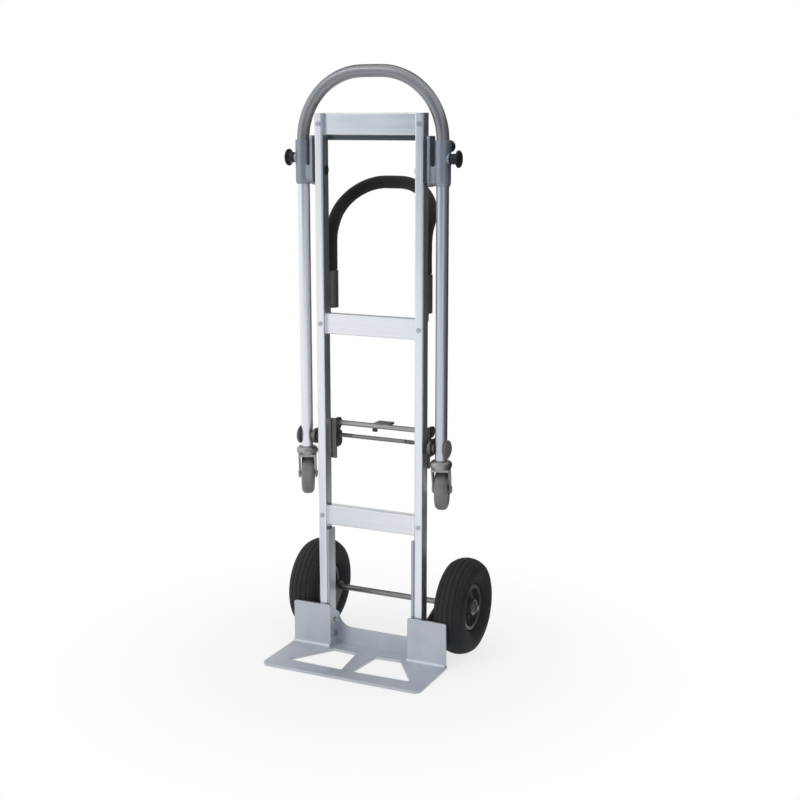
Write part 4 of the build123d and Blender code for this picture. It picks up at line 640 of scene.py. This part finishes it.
# Coil springs of the latch
def latch_coil(side_name, side):
    """A coil with closed turns at both ends, shortened by the latch pin."""
    count = SPRING_TURNS * SPRING_STEPS
    span = SPRING_END - SPRING_START - 2 * SPRING_WIRE
    weights = []
    for n in range(count + 1):
        from_end = min(n, count - n) / SPRING_STEPS
        opened = min(1.0, max(0.0, from_end - CLOSED_TURNS) / (1 - CLOSED_TURNS))
        weights.append(CLOSED_PITCH + (1 - CLOSED_PITCH) * opened)
    total = sum(weights[1:])
    centres, run = [], 0.0
    for n, weight in enumerate(weights):
        run += weight if n else 0.0
        a = TAU * n / SPRING_STEPS
        x = SPRING_START + SPRING_WIRE + span * run / total
        y = LATCH_Y + SPRING_RADIUS * math.cos(a)
        centres.append(Vector((side * x, y, LATCH_PIN_Z + SPRING_RADIUS * math.sin(a))))
    rows = []
    for n, at in enumerate(centres):
        way = (centres[min(count, n + 1)] - centres[max(0, n - 1)]).normalized()
        out = Vector((0, at.y - LATCH_Y, at.z - LATCH_PIN_Z)).normalized()
        out = (out - way * out.dot(way)).normalized()
        other = way.cross(out)
        turns = [TAU * k / SPRING_SIDES for k in range(SPRING_SIDES)]
        rows.append([at + (out * math.cos(a) + other * math.sin(a)) * SPRING_WIRE for a in turns])
    piece = skin(f"{side_name}_latch_coil", rows, spring_steel, "steel", "frame", closed=False)
    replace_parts(piece, f"{side_name}_latch_spring")
    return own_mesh(piece)


for side_name, side in (("left", -1), ("right", 1)):
    tyre(side_name, side)
    latch_coil(side_name, side)
grip()


# Stage, light and camera
SHADOW_REACH = (0.15, 0.85)     # distances from the part between which its shadow fades
WHITE_SHARE = (0.74, 1.0)       # share of plain white in the floor at those distances
FLOOR_TONE = 0.88
ROOM_LIGHT = 0.5
FADE_SIDE = -0.41               # the fading card stops leaning to the right of this place
FADE_LEAN = 1.1


def card(name, width, depth, location, facing, material):
    """A flat card that faces a way."""
    x = width / 2
    y = depth / 2
    mesh = bpy.data.meshes.new(name)
    mesh.from_pydata([(-x, -y, 0), (x, -y, 0), (x, y, 0), (-x, y, 0)], [], [(0, 1, 2, 3)])
    mesh.materials.append(material)
    piece = bpy.data.objects.new(name, mesh)
    piece.location = location
    piece.rotation_euler = Vector(facing).to_track_quat("Z", "Y").to_euler()
    scene.collection.objects.link(piece)
    return piece


def seen_white(tree):
    """Share of rays that see the pale background as it is: camera, gloss and glass."""
    path = node(tree, "LightPath").outputs
    pair = {0: path["Is Camera Ray"], 1: path["Is Glossy Ray"]}
    first = node(tree, "Math", pair, operation="MAXIMUM").outputs[0]
    return node(tree, "Math", {0: first, 1: path["Is Transmission Ray"]}, operation="MAXIMUM").outputs[0]


def floor_material():
    """A pale floor that keeps the shadow near the object and turns to plain white away from it."""
    material = bpy.data.materials.new("floor")
    material.use_nodes = True
    tree = material.node_tree
    tree.nodes.clear()
    spot = node(tree, "NewGeometry").outputs["Position"]
    away = node(tree, "VectorMath", {0: spot}, operation="LENGTH").outputs["Value"]
    share = times(tree, seen_white(tree), levels(tree, away, *SHADOW_REACH, *WHITE_SHARE))
    matte = node(tree, "BsdfDiffuse", {"Color": grey(FLOOR_TONE)}).outputs[0]
    white = node(tree, "Emission", {"Color": (1, 1, 1, 1), "Strength": 1.0}).outputs[0]
    blended = node(tree, "MixShader", {0: share, 1: matte, 2: white}).outputs[0]
    node(tree, "OutputMaterial", {"Surface": blended})
    return material


def card_material(name, colour, fade=None):
    """A card that shows one even tone in reflections, or fades from white to it upwards and to the right."""
    material = bpy.data.materials.new(name)
    material.use_nodes = True
    tree = material.node_tree
    tree.nodes.clear()
    if fade:
        spot = node(tree, "SeparateXYZ", {0: node(tree, "NewGeometry").outputs["Position"]}).outputs
        side = node(tree, "Math", {0: spot["X"], 1: FADE_SIDE}, operation="MINIMUM").outputs[0]
        rise = plus(tree, spot["Z"], times(tree, side, FADE_LEAN))
        colour = mix(tree, levels(tree, rise, *fade), grey(1.0), colour)
    tone = node(tree, "Emission", {"Color": colour, "Strength": 1.0}).outputs[0]
    node(tree, "OutputMaterial", {"Surface": tone})
    return material


black_card = card_material("black_card", grey(0.055))
dark_card = card_material("dark_card", grey(0.20, 0.08))
floor_card = card_material("floor_card", grey(0.50, 0.08))
slate_card = card_material("slate_card", (0.09, 0.15, 0.22, 1.0), (0.25, 0.85))
CARDS = [
    ("card_back", 2.6, 2.3, (1.15, 1.35, 1.1), (-0.6, -0.8, 0), black_card),
    ("card_right", 2.2, 2.3, (2.0, -0.3, 1.1), (-1, 0.1, 0), dark_card),
    ("card_low", 1.6, 2.2, (1.2, 0.8, 0.001), (0, 0, 1), black_card),
    ("card_front", 2.6, 2.2, (-0.35, -1.2, 1.25), (0, 1, 0), slate_card),
    ("card_floor", 0.9, 0.8, (-0.8, -0.60, 0.001), (0, 0, 1), floor_card),
    ("card_sky", 2.6, 2.6, (-0.5, 1.3, 2.5), (0.5, -1.3, -0.95), black_card),
]
card("floor", 60.0, 60.0, (0, 0, -0.0006), (0, 0, 1), floor_material())
for name, width, depth, location, facing, material in CARDS:
    piece = card(name, width, depth, location, facing, material)
    piece.visible_camera = False
    piece.visible_shadow = False
    piece.visible_diffuse = False

world = bpy.data.worlds.new("studio")
scene.world = world
world.use_nodes = True
tree = world.node_tree
tree.nodes.clear()
room = node(tree, "Background", {"Color": (0.97, 0.985, 1.0, 1), "Strength": ROOM_LIGHT}).outputs[0]
white = node(tree, "Background", {"Color": (1, 1, 1, 1), "Strength": 1.0}).outputs[0]
seen = node(tree, "MixShader", {0: seen_white(tree), 1: room, 2: white}).outputs[0]
node(tree, "OutputWorld", {"Surface": seen})


def lamp(name, location, target, size, power):
    """A round lamp that shines at a target."""
    data = bpy.data.lights.new(name, "AREA")
    data.shape = "DISK"
    data.size = size
    data.energy = power
    piece = bpy.data.objects.new(name, data)
    piece.location = location
    piece.rotation_euler = (Vector(target) - Vector(location)).to_track_quat("-Z", "Y").to_euler()
    scene.collection.objects.link(piece)


lamp("key", (-2.4, -3.6, 3.4), (0, 0, 0.7), 2.6, 70.0)
lamp("top", (-0.6, 1.2, 3.8), (0, 0, 0.8), 2.0, 12.0)

camera = bpy.data.objects.new("camera", bpy.data.cameras.new("camera"))
camera.data.lens = CAMERA_LENS
camera.data.sensor_width = CAMERA_SENSOR
camera.location = CAMERA_PLACE
camera.rotation_euler = [math.radians(angle) for angle in CAMERA_TURN]
scene.collection.objects.link(camera)
scene.camera = camera
scene.view_settings.view_transform = "Standard"
